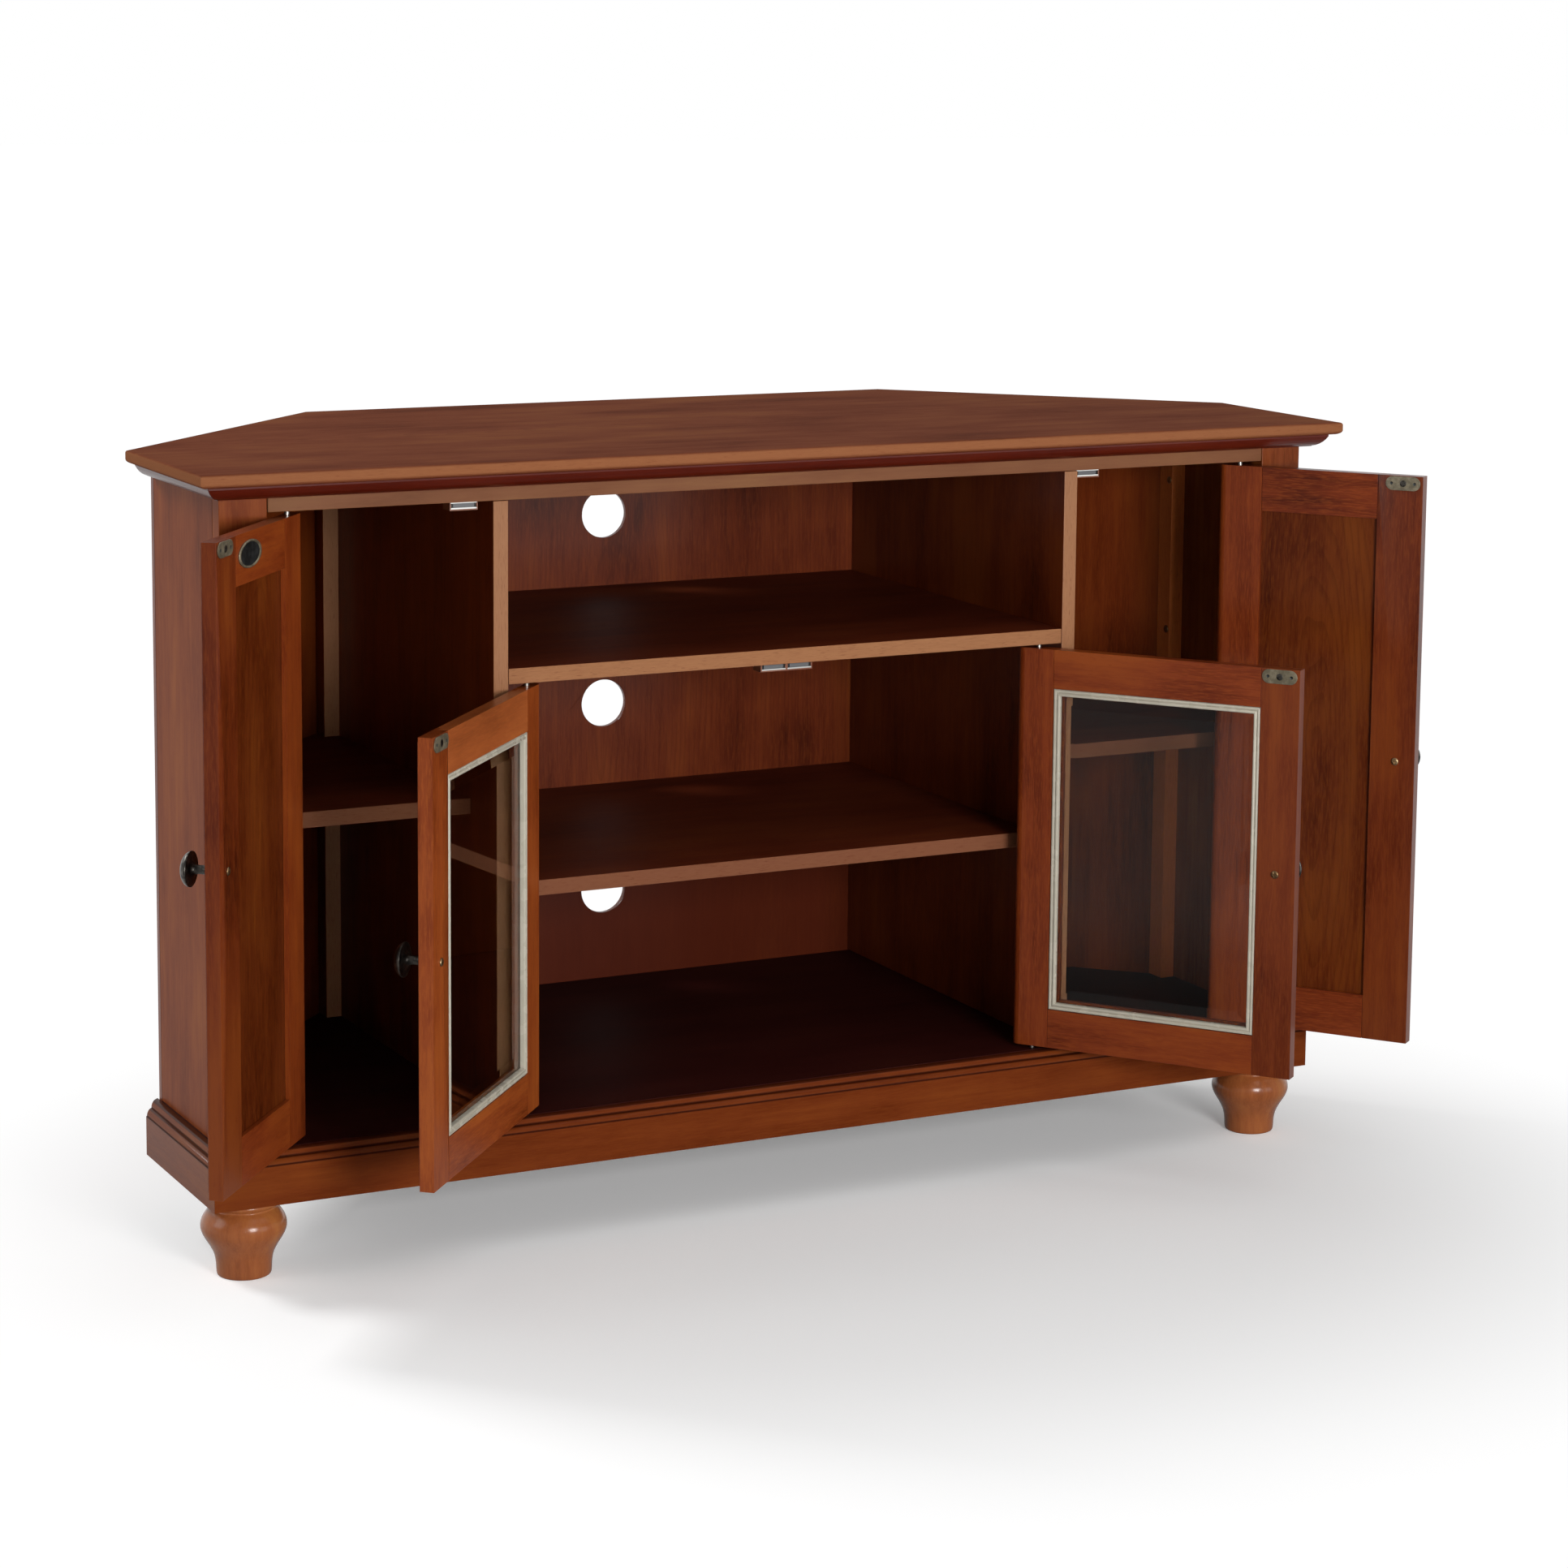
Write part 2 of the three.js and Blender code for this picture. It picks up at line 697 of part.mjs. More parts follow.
const outerStrikeX = outerPivotX - (outerDoorWidth - pivotInset - knobEdgeInset);
const catches = [
  ['catch_left', 1, -outerStrikeX, railBottom],
  ['catch_right', 1, outerStrikeX, railBottom],
  ['catch_centre', 2, 0, centreShelfBottom],
];
for (const [name, magnets, x, ceiling] of catches) {
  add(name, magnetCatch(magnets), brownPlastic).position.set(x, catchFrontY, ceiling - fit);
}

// Doors
//
// A door is drawn shut and hinged at its left: x = 0 is its pivot, its hinge end is at
// x = -pivotInset, y < 0 is its front and z is the cabinet's own.

const doorFront = -doorThickness / 2;
const doorBack = doorThickness / 2;
const stepBackY = doorFront + doorEdgeStep.depth;

function pins(low, high) {
  return [
    cylinder(pinRadius, low - doorBottomGap - pinReach, low + overrun),
    cylinder(pinRadius, high - overrun, high + doorTopGap + pinReach),
  ];
}

// A layer of the hinge stile between two depths of the door. Its hinge end is a slice of one
// full bullnose, and it ends square at x = edge.
function hingeStileLayer(edge, frontY, backY, low, high) {
  const radius = doorBack;
  const centreX = radius - pivotInset;
  const noseX = (y) => centreX - Math.sqrt(Math.max(radius ** 2 - y ** 2, 0));
  const back = quarterArc([centreX, 0], [radius, radius], Math.PI / 2);
  const front = quarterArc([centreX, 0], [radius, radius], Math.PI).slice(1);
  const nose = [...back, ...front].filter(([, y]) => y > frontY && y < backY);
  const outline = [
    [edge, backY], [noseX(backY), backY], ...nose, [noseX(frontY), frontY], [edge, frontY],
  ];
  return prism(outline, low, high);
}

// Panelled door: grooved stiles and rails round a raised panel

const grooveBackY = doorBack - grooveBackLip;
const grooveFrontY = grooveBackY - grooveWidth;
const outerFreeEdge = outerDoorWidth - pivotInset;
const stileInnerEdge = panelDoorStile - pivotInset;
const freeStileInnerEdge = outerFreeEdge - panelDoorStile;

function knobHole(x, z) {
  const radius = knobScrewRadius + knobScrewClearance;
  const bore = cylinder(radius, doorFront - overrun, doorBack + overrun, boreSides);
  return bore.rotateX(Math.PI / 2).translate(x, 0, z);
}

function panelHingeStile() {
  const low = doorBottom;
  const high = outerDoorTop;
  const step = doorEdgeStep.width;
  const stile = joined(
    hingeStileLayer(stileInnerEdge, stepBackY, doorBack, low, high),
    hingeStileLayer(stileInnerEdge, doorFront, stepBackY + fit, low + step, high - step),
    ...pins(low, high),
  );
  const groove = block(
    [stileInnerEdge - grooveDepth, grooveFrontY, low - overrun],
    [stileInnerEdge + overrun, grooveBackY, high + overrun],
  );
  return cut(stile, groove);
}

function panelFreeStile() {
  const low = doorBottom;
  const high = outerDoorTop;
  const step = doorEdgeStep.width;
  const stile = joined(
    block([freeStileInnerEdge, stepBackY, low], [outerFreeEdge, doorBack, high]),
    block(
      [freeStileInnerEdge, doorFront, low + step],
      [outerFreeEdge - step, stepBackY + fit, high - step],
    ),
  );
  const groove = block(
    [freeStileInnerEdge - overrun, grooveFrontY, low - overrun],
    [freeStileInnerEdge + grooveDepth, grooveBackY, high + overrun],
  );
  return cut(stile, groove, knobHole(outerFreeEdge - knobEdgeInset, (low + high) / 2));
}

// A rail between the stiles, with a tongue at each end that fills the stiles' grooves.
// Its outer edge is at z = 0 and its grooved inner edge at z = panelDoorRail.
function panelRail() {
  const left = stileInnerEdge + fit;
  const right = freeStileInnerEdge - fit;
  const tongue = grooveDepth - fit;
  const body = joined(
    block([left, stepBackY, 0], [right, doorBack, panelDoorRail]),
    block([left, doorFront, doorEdgeStep.width], [right, stepBackY + fit, panelDoorRail]),
    block(
      [stileInnerEdge - tongue, grooveFrontY + fit, 0],
      [freeStileInnerEdge + tongue, grooveBackY - fit, panelDoorRail],
    ),
  );
  const groove = block(
    [stileInnerEdge - grooveDepth - overrun, grooveFrontY, panelDoorRail - grooveDepth],
    [freeStileInnerEdge + grooveDepth + overrun, grooveBackY, panelDoorRail + overrun],
  );
  return cut(body, groove);
}

// A plate in the door's plane, built of rectangles that shrink by each inset towards the front.
function steppedPlate(left, right, low, high, layers) {
  const rings = layers.map(([inset, y]) => [
    new THREE.Vector3(left + inset, y, low + inset), new THREE.Vector3(right - inset, y, low + inset),
    new THREE.Vector3(right - inset, y, high - inset), new THREE.Vector3(left + inset, y, high - inset),
  ]);
  return loft(rings, rings[0].map((p) => new THREE.Vector2(p.x, p.z)));
}

function raisedPanel() {
  const reach = grooveDepth - 2 * fit;
  const fieldY = doorFront + doorEdgeStep.depth / 2;
  return steppedPlate(
    stileInnerEdge - reach, freeStileInnerEdge + reach,
    doorBottom + panelDoorRail - reach, outerDoorTop - panelDoorRail + reach,
    [
      [0, grooveBackY - fit],
      [0, grooveFrontY + fit],
      [reach + fit, grooveFrontY + fit],
      [panelFieldInset, fieldY + panelFieldStep],
      [panelFieldInset, fieldY],
    ],
  );
}

// Glass door: rebated frame, bevelled pane and a glazing bead that holds it in from the back

const glassFreeEdge = glassDoorWidth - pivotInset;
const rebateFrontY = doorBack - glassRebate.depth;
const glassStileInner = glassDoorFrame - pivotInset;
const glassFreeInner = glassFreeEdge - glassDoorFrame;

function glassHingeStile() {
  const low = doorBottom;
  const high = glassDoorTop;
  const step = doorEdgeStep.width;
  const lipEdge = glassStileInner + glassRebate.width;
  return joined(
    hingeStileLayer(glassStileInner, stepBackY, doorBack, low, high),
    hingeStileLayer(glassStileInner, doorFront, stepBackY + fit, low + step, high - step),
    block([0, stepBackY, low], [lipEdge, rebateFrontY, high]),
    block([0, doorFront, low + step], [lipEdge, stepBackY + fit, high - step]),
    ...pins(low, high),
  );
}

function glassFreeStile() {
  const low = doorBottom;
  const high = glassDoorTop;
  const step = doorEdgeStep.width;
  const stile = joined(
    block([glassFreeInner, stepBackY, low], [glassFreeEdge, doorBack, high]),
    block(
      [glassFreeInner - glassRebate.width, stepBackY, low],
      [glassFreeInner + overrun, rebateFrontY, high],
    ),
    block(
      [glassFreeInner - glassRebate.width, doorFront, low + step],
      [glassFreeEdge - step, stepBackY + fit, high - step],
    ),
  );
  return cut(stile, knobHole(glassFreeEdge - knobEdgeInset, (low + high) / 2));
}

// Coped over the stiles' rebates: long behind the glass line, short in front of it.
function glassRail() {
  const longLeft = glassStileInner + fit;
  const longRight = glassFreeInner - fit;
  const shortLeft = longLeft + glassRebate.width;
  const shortRight = longRight - glassRebate.width;
  const deep = glassDoorFrame + glassRebate.width;
  return joined(
    block([longLeft, rebateFrontY + fit, 0], [longRight, doorBack, glassDoorFrame]),
    block([shortLeft, stepBackY, 0], [shortRight, rebateFrontY + 2 * fit, glassDoorFrame]),
    block([shortLeft, stepBackY, glassDoorFrame / 2], [shortRight, rebateFrontY, deep]),
    block([shortLeft, doorFront, doorEdgeStep.width], [shortRight, stepBackY + fit, deep]),
  );
}

const paneBackY = rebateFrontY + fit + glassThickness;

function pane() {
  const frontY = rebateFrontY + fit;
  return steppedPlate(
    glassStileInner + fit, glassFreeInner - fit,
    doorBottom + glassDoorFrame + fit, glassDoorTop - glassDoorFrame - fit,
    [
      [0, paneBackY],
      [0, paneBackY - glassEdgeThickness],
      [glassBevel, frontY],
    ],
  );
}

// The bead's section has a groove along its crown; it is mitred round the pane in one loop.
function glazingBead() {
  const backY = doorBack;
  const frontY = paneBackY + fit;
  const third = beadWidth / 3;
  const section = [
    [0, frontY], [0, backY], [third, backY], [beadWidth / 2, backY - beadGroove],
    [2 * third, backY], [beadWidth, backY - beadGroove], [beadWidth, frontY],
  ];
  const left = glassStileInner + fit;
  const right = glassFreeInner - fit;
  const low = doorBottom + glassDoorFrame + fit;
  const high = glassDoorTop - glassDoorFrame - fit;
  const corners = [
    (inset) => [left + inset, low + inset], (inset) => [right - inset, low + inset],
    (inset) => [right - inset, high - inset], (inset) => [left + inset, high - inset],
  ];
  const rings = corners.map((corner) => section.map(([inset, y]) => {
    const [x, z] = corner(inset);
    return new THREE.Vector3(x, y, z);
  }));
  return loft(rings, toSection(section), true);
}

// Knob and its screw, along +z from the door's back face to the knob's crown.
function knob() {
  const base = doorThickness + fit;
  const outline = [
    [knobScrewHead.radius / 2, -knobScrewHead.height],
    [knobScrewHead.radius, -knobScrewHead.height / 2],
    [knobScrewHead.radius, -fit],
    [knobScrewRadius, -fit],
    [knobScrewRadius, base],
    ...knobShares.map(([r, z]) => [r * knobRadius, base + z * knobLength]),
  ];
  return turned(outline, knobSides);
}

// A round-ended plate with its screw head, facing the cabinet.
function strikePlate() {
  const radius = strikeHeight / 2;
  const straight = strikeLength / 2 - radius;
  const shape = new THREE.Shape();
  shape.absarc(straight, 0, radius, -Math.PI / 2, Math.PI / 2, false);
  shape.absarc(-straight, 0, radius, Math.PI / 2, 1.5 * Math.PI, false);
  const plate = new THREE.ExtrudeGeometry(shape, {
    depth: strikeThickness, bevelEnabled: false, curveSegments: strikeEndSteps,
  });
  const head = cylinder(strikeScrewHead.radius, 0, strikeThickness + strikeScrewHead.height);
  return joined(plate, head).rotateX(-Math.PI / 2);
}

// Hangs a door's pieces on its pivot and swings them to their open angle.
function hang(name, hand, pivotX, angle, pieces) {
  const door = new THREE.Group();
  door.position.set(hand * pivotX, pivotY, 0);
  door.rotation.z = THREE.MathUtils.degToRad(hand * angle);
  cabinet.add(door);
  for (const { part, geometry, material, at = [0, 0, 0], turn = 0 } of pieces) {
    const mesh = add(`${name}_${part}`, handed(geometry, hand), material, door);
    mesh.position.set(-hand * at[0], at[1], at[2]);
    mesh.rotation.x = turn;
  }
}

function doorHardware(freeEdge, high) {
  const x = freeEdge - knobEdgeInset;
  const knobAt = [x, doorBack, (doorBottom + high) / 2];
  const strikeAt = [x, doorBack + fit, high - strikeTopInset];
  return [
    { part: 'knob', geometry: knob(), material: pewter, at: knobAt, turn: Math.PI / 2 },
    { part: 'strike_plate', geometry: strikePlate(), material: brass, at: strikeAt },
  ];
}

function panelDoorPieces() {
  return [
    { part: 'hinge_stile', geometry: panelHingeStile(), material: doorWood },
    { part: 'free_stile', geometry: panelFreeStile(), material: doorWood },
    { part: 'bottom_rail', geometry: panelRail(), material: doorWood, at: [0, 0, doorBottom] },
    { part: 'top_rail', geometry: upsideDown(panelRail()), material: doorWood, at: [0, 0, outerDoorTop] },
    { part: 'panel', geometry: raisedPanel(), material: doorWood },
    ...doorHardware(outerFreeEdge, outerDoorTop),
  ];
}

function glassDoorPieces() {
  return [
    { part: 'hinge_stile', geometry: glassHingeStile(), material: doorWood },
    { part: 'free_stile', geometry: glassFreeStile(), material: doorWood },
    { part: 'bottom_rail', geometry: glassRail(), material: doorWood, at: [0, 0, doorBottom] },
    { part: 'top_rail', geometry: upsideDown(glassRail()), material: doorWood, at: [0, 0, glassDoorTop] },
    { part: 'pane', geometry: pane(), material: glass },
    { part: 'glazing_bead', geometry: glazingBead(), material: clearPlastic },
    ...doorHardware(glassFreeEdge, glassDoorTop),
  ];
}

// A top rail is a bottom rail reflected about its outer edge.
function upsideDown(geometry) {
  const twin = welded(geometry).scale(1, 1, -1);
  const corners = twin.index.array;
  for (let i = 0; i < corners.length; i += 3) {
    [corners[i], corners[i + 1]] = [corners[i + 1], corners[i]];
  }
  twin.computeVertexNormals();
  return twin;
}

hang('outer_left', -1, outerPivotX, outerLeftAngle, panelDoorPieces());
hang('glass_left', -1, glassPivotX, glassLeftAngle, glassDoorPieces());
hang('glass_right', 1, glassPivotX, glassRightAngle, glassDoorPieces());
hang('outer_right', 1, outerPivotX, outerRightAngle, panelDoorPieces());

// The origin moves to the bottom centre of the part as it stands, doors open.
const bounds = new THREE.Box3().setFromObject(cabinet, true);
const middle = bounds.getCenter(new THREE.Vector3());
cabinet.position.set(-middle.x, -middle.y, -bounds.min.z);

export default cabinet;
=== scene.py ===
# %% [markdown]
# # A corner cabinet for a television, dressed for its picture
#
# The cabinet's boards, doors, feet and fittings come as a finished solid model, the frame. This
# lesson gives them what a solid model lacks: stained and lacquered wood with its grain, antique
# metal, glass, soft edges and the small turned and stamped parts. A camera, a floor and studio
# light go round it. Lengths are metres, +Z is up and the front of the cabinet faces -Y.

# %% Load the frame and measure it
import json
import math

import bmesh
import bpy
from mathutils import Matrix, Vector


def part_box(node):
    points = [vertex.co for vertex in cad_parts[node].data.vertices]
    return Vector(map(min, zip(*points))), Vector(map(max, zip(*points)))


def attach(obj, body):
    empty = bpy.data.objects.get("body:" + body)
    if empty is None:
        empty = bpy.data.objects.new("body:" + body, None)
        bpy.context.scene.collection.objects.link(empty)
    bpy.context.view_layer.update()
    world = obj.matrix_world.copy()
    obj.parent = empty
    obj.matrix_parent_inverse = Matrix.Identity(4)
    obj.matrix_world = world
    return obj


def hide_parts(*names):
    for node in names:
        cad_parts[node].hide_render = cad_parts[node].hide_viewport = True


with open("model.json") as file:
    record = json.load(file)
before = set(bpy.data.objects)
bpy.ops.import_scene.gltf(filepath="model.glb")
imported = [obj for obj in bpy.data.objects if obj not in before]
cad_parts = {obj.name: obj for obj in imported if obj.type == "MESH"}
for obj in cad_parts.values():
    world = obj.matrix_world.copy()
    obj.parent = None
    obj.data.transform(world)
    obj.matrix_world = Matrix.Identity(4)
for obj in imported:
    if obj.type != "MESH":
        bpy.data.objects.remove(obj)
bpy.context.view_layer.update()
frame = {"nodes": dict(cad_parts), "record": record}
scene = bpy.context.scene
MM = 0.001

top_low, top_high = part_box("top_panel")
middle_x = (top_low[0] + top_high[0]) / 2
front_y = top_low[1]
floor_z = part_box("foot_front_left")[0][2]
print("width of the top:", round(top_high[0] - top_low[0], 4))

# %% [markdown]
# ## The camera
#
# The photograph was taken from the cabinet's left, a little above its top, with a long lens, and
# its upright edges are nearly parallel. That can be had by tilting the camera down and moving the
# lens, as an architect's camera does. A large shift would push the cabinet out of the other
# views, so this camera tilts for the most part and shifts the rest.

# %% A camera with a long lens
camera_lens = 88.22  # millimetres, and so is the sensor
camera_sensor = 36
camera_shift = -0.15  # of the picture's width
camera_reach = 100

lens = bpy.data.cameras.new("camera")
lens.sensor_width = camera_sensor
lens.lens = camera_lens
lens.shift_y = camera_shift
lens.clip_end = camera_reach
camera = bpy.data.objects.new("camera", lens)
scene.collection.objects.link(camera)
scene.camera = camera
view_angle = 2 * math.atan(camera_sensor / 2 / camera_lens)
print("the lens sees", round(math.degrees(view_angle), 1), "degrees")

# %% Place and turn the camera
camera_place = Vector((-1.6679, -3.2422, 1.1589))  # from the floor under the top's front
camera_turn = math.radians(26.781)  # to the right of straight at the front
camera_tilt = math.radians(7.835)  # downward
camera_roll = math.radians(0.5)

forward = Vector((
    math.sin(camera_turn) * math.cos(camera_tilt),
    math.cos(camera_turn) * math.cos(camera_tilt),
    -math.sin(camera_tilt),
))
level = Vector((math.cos(camera_turn), -math.sin(camera_turn), 0))
upward = level.cross(forward)
right = level * math.cos(camera_roll) + upward * math.sin(camera_roll)
up = upward * math.cos(camera_roll) - level * math.sin(camera_roll)
camera.location = camera_place + Vector((middle_x, front_y, floor_z))
turn = Matrix((right, up, -forward)).transposed()
camera.rotation_mode = "QUATERNION"
camera.rotation_quaternion = turn.to_quaternion()
print("camera at", [round(v, 3) for v in camera.location])

# %% [markdown]
# ## Shader maths as expressions
#
# A finish is a tree of nodes. Wiring each node by hand hides the idea behind it, so a small class
# wraps a socket and lets it take part in sums: `1 - mask * 0.5` adds its own Math nodes. Every
# other node comes from one method, which takes the node's type, its settings and its inputs.

# %% A wire that takes part in sums
class Wire:
    """One output of a node in its owner's tree, which takes part in sums as a number does."""

    def __init__(self, owner, socket):
        self.owner = owner
        self.socket = socket

    def maths(self, operation, first, second=0):
        vector = any(w.socket.type != "VALUE" for w in (first, second) if isinstance(w, Wire))
        kind = "ShaderNodeVectorMath" if vector else "ShaderNodeMath"
        return self.owner.node(kind, {"operation": operation}, {0: first, 1: second})

    def __add__(self, other):
        return self.maths("ADD", self, other)

    __radd__ = __add__

    def __sub__(self, other):
        return self.maths("SUBTRACT", self, other)

    def __rsub__(self, other):
        return self.maths("SUBTRACT", other, self)

    def __mul__(self, other):
        return self.maths("MULTIPLY", self, other)

    __rmul__ = __mul__

    def __abs__(self):
        return self.maths("ABSOLUTE", self)


print("a wire takes +, - and *, with a number on either side, and abs")

# %% [markdown]
# ## Trees and finishes
#
# Materials and the world both hold a node tree, so one class fills either. A finish is the tree of
# a material. Its Principled shader is there from the start, and all that is left is to give its
# sockets a value or a wire each.

# %% A tree that is filled by calls
class Tree:
    """A node tree that is filled by calls."""

    def __init__(self, tree):
        self.tree = tree

    def set(self, node, inputs):
        for key, value in inputs.items():
            if isinstance(value, Wire):
                self.tree.links.new(value.socket, node.inputs[key])
            else:
                node.inputs[key].default_value = value

    def node(self, kind, settings=None, inputs=None, output=0):
        made = self.tree.nodes.new(kind)
        for name, value in (settings or {}).items():
            if name == "stops":
                self.fill_ramp(made.color_ramp, value)
            else:
                setattr(made, name, value)
        self.set(made, inputs or {})
        return Wire(self, made.outputs[output])

    def fill_ramp(self, ramp, stops):
        while len(ramp.elements) < len(stops):
            ramp.elements.new(1)
        for element, (place, colour) in zip(ramp.elements, stops):
            element.position = place
            element.color = colour


class Finish(Tree):
    """The node tree of one material."""

    def __init__(self, name):
        self.material = bpy.data.materials.new(name)
        self.material.use_nodes = True
        super().__init__(self.material.node_tree)
        self.shader = next(n for n in self.tree.nodes if n.type == "BSDF_PRINCIPLED")

    def surface(self, **inputs):
        self.set(self.shader, {name.replace("_", " "): value for name, value in inputs.items()})
        return self.material


print("materials of the frame:", len(bpy.data.materials))

# %% Colours as a screen shows them
BLACK, WHITE = (0, 0, 0, 1), (1, 1, 1, 1)


def tint(red, green, blue):
    """A colour as a screen shows it, 0 to 255, turned into the linear one a shader takes."""
    shares = [value / 255 for value in (red, green, blue)]
    return (*[s / 12.92 if s < 0.04 else ((s + 0.055) / 1.055) ** 2.4 for s in shares], 1)


def blend(share, first, second):
    """The first colour where share is 0 and the second where it is 1."""
    inputs = {"Factor": share, 6: first, 7: second}
    return share.owner.node("ShaderNodeMix", {"data_type": "RGBA"}, inputs, 2)


print("a stain of (110, 50, 24) is", [round(v, 3) for v in tint(110, 50, 24)])

# %% [markdown]
# ## Masks
#
# A mask is a number from 0 to 1 over the surface, which says where one look gives way to another.
# It could be painted on each piece. Here the masks are worked out from where a spot lies, so they
# fit every piece and hold at any distance.

# %% Noise, fades and limits
def place_of(tree):
    """Where a spot of the surface lies, in metres."""
    return tree.node("ShaderNodeTexCoord", output="Object")


def part_of(vector, axis):
    """One of a vector's three numbers, by its axis: X, Y or Z."""
    return vector.owner.node("ShaderNodeSeparateXYZ", None, {0: vector}, axis)


def noise(place, seed, scale, detail=2.0, rough=0.5, output=0):
    inputs = {"Vector": place, "W": seed, "Scale": scale, "Detail": detail, "Roughness": rough}
    return place.owner.node("ShaderNodeTexNoise", {"noise_dimensions": "4D"}, inputs, output)


def fade(value, start, end):
    """0 at start and before, 1 at end and after, and a smooth rise between."""
    inputs = {"Value": value, "From Min": start, "From Max": end}
    return value.owner.node("ShaderNodeMapRange", {"interpolation_type": "SMOOTHSTEP"}, inputs)


def beyond(finish, axis, limit, side):
    """1 where the place lies past a limit on an axis, on its high side (1) or low side (-1)."""
    value = part_of(place_of(finish), axis)
    return value.maths("GREATER_THAN" if side > 0 else "LESS_THAN", value, limit)


print("a limit for all above half a metre:", ("Z", 0.5, 1))

# %% [markdown]
# ## Stained wood
#
# The cabinet is a pale veneer, stained a warm red-brown and lacquered. Three things show in it:
# fine pores in short dashes, streaks of grain a hand long, and soft dark clouds where the veneer
# drank more stain. A picture of veneer could be laid on each board, but its joins and repeats
# would show. Noise has neither, so every layer here is noise, on a place that is squeezed along
# the board, which turns round spots into streaks.

# %% Squeeze a place along the grain
def along_grain(finish, along, stretch):
    """The place on the board, squeezed along the grain."""
    place = place_of(finish)
    product = {"operation": "DOT_PRODUCT"}
    run = finish.node("ShaderNodeVectorMath", product, {0: place, 1: along}, "Value")
    share = run * (1 - 1 / stretch)
    pull = finish.node("ShaderNodeVectorMath", {"operation": "SCALE"}, {0: along, "Scale": share})
    return place - pull


def squeezed(point, along, stretch):
    """One point, moved as along_grain moves every place."""
    point, along = Vector(point), Vector(along)
    return tuple(point - along * point.dot(along) * (1 - 1 / stretch))


print("a point 1 m up, squeezed to a quarter:", squeezed((0, 0, 1), (0, 0, 1), 4))

# %% Layers of the grain
grain_layers = {  # squeeze along the grain, shift of the seed, spots per metre, detail, roughness
    "clouds": (2.2, 11, 9, 3, 0.6),
    "figure": (6, 3, 34, 2, 0.55),
    "streaks": (18, 0, 190, 3, 0.6),
    "fibre": (9, 5, 700, 2, 0.6),
    "pores": (14, 7, 1500, 1, 0.5),
}


def grain(finish, along, seed):
    """Every layer of the grain, by name."""
    layers = {}
    for name, (stretch, shift, scale, detail, rough) in grain_layers.items():
        place = along_grain(finish, along, stretch)
        layers[name] = noise(place, seed + shift, scale, detail, rough)
    return layers


print("layers of the grain:", list(grain_layers))

# %% [markdown]
# ## Growth lines
#
# A wide panel is sawn flat through the trunk, so its growth lines arch round the heart. They could
# be drawn as curves. Here they come from the distance to the heart, cut into equal steps, with a
# little noise that bends them.

# %% Growth lines that arch
ring_squeeze = 7
rings_per_metre = 170
drift_scale = 14
drift_reach = (0.05, 0.05, 0.05)
line_start, line_end = 0.55, 0.98  # of the way from one line to the next


def cathedral(finish, along, heart, seed):
    """Thin growth lines that arch round a heart."""
    place = along_grain(finish, along, ring_squeeze) - squeezed(heart, along, ring_squeeze)
    drift = noise(place, seed, drift_scale, output="Color")
    bent = place + (drift - (0.5, 0.5, 0.5)) * drift_reach
    reach = finish.node("ShaderNodeVectorMath", {"operation": "LENGTH"}, {0: bent}, "Value")
    ring = reach.maths("FRACT", reach * rings_per_metre)
    return fade(ring, line_start, line_end)


print("growth lines stand", round(1000 / rings_per_metre, 1), "mm apart")

# %% [markdown]
# ## Stain over the grain
#
# Stain is darkest in the clouds and thin over hard wood, where the pale veneer glows through as
# gold. A ramp gives each tone of the grain its shade of the stain, and contrast says how far the
# shades lie apart. What else shows on a board covers this colour, one mask after another.

# %% Wood that can be covered with more stain
deep_shares = (0.3, 0.2, 0.18)  # of the stain's red, green and blue
dark_shares = (0.72, 0.62, 0.58)
gold_shares = (1.4, 1.75, 1.4)
tone_shares = {"clouds": 0.52, "figure": 0.26, "streaks": 0.22}
tone_places = (0.37, 0.445, 0.51, 0.6)  # of deep, dark, stain and gold
pore_limits, fibre_limits = (0.6, 0.74), (0.42, 0.68)
fibre_strength = 0.5


class Wood(Finish):
    """Stained wood, whose colour can be covered with other stains."""

    def __init__(self, name, stain, along, seed, contrast):
        super().__init__(name)

        def shade(shares):
            scaled = [min(1, c * (1 + (s - 1) * contrast)) for c, s in zip(stain, shares)]
            return (*scaled, 1)

        layer = grain(self, along, seed)
        self.fibre = layer["fibre"]
        self.pores = fade(layer["pores"], *pore_limits)
        clouds, figure, streaks = [layer[part] * share for part, share in tone_shares.items()]
        self.tone = clouds + figure + streaks
        self.deep, self.dark, gold = shade(deep_shares), shade(dark_shares), shade(gold_shares)
        stops = list(zip(tone_places, (self.deep, self.dark, stain, gold)))
        self.colour = self.node("ShaderNodeValToRGB", {"stops": stops}, {0: self.tone})
        self.cover(fade(self.fibre, *fibre_limits) * (fibre_strength * contrast), gold)

    def cover(self, mask, colour):
        """Lays another colour over the wood where the mask is 1."""
        self.colour = blend(mask, self.colour, colour)


print("gold is the stain's green times", gold_shares[1])

# %% [markdown]
# ## Where a board is stained otherwise
#
# The solid model has one node where the real board has several looks: a shelf's front edge is
# paler than its top and the rim of the top is rubbed thin. A moulding's grooves, its quirks, get
# a dark line of painted shade, and a few boards get patches of painted light or painted shade. The
# solids could be cut up for that. A mask does it without touching them, from the way a surface
# faces or from where it lies.

# %% Patches, fronts, rims and quirks
patch_strength, edge_strength, quirk_strength = 0.6, 0.7, 0.75
fibre_swing = 0.5  # what the fibre adds to the first two
front_limits = (0.6, 0.9)  # of how far a face looks forward
rim_limits = (0.95, 0.4)  # of how far it looks up or down
quirk_core, quirk_reach = 0.4 * MM, 1.2 * MM
# the colour of the painted shade in the plinth's quirks, and of its dark joint
quirk_shade_colour = tint(40, 13, 7)


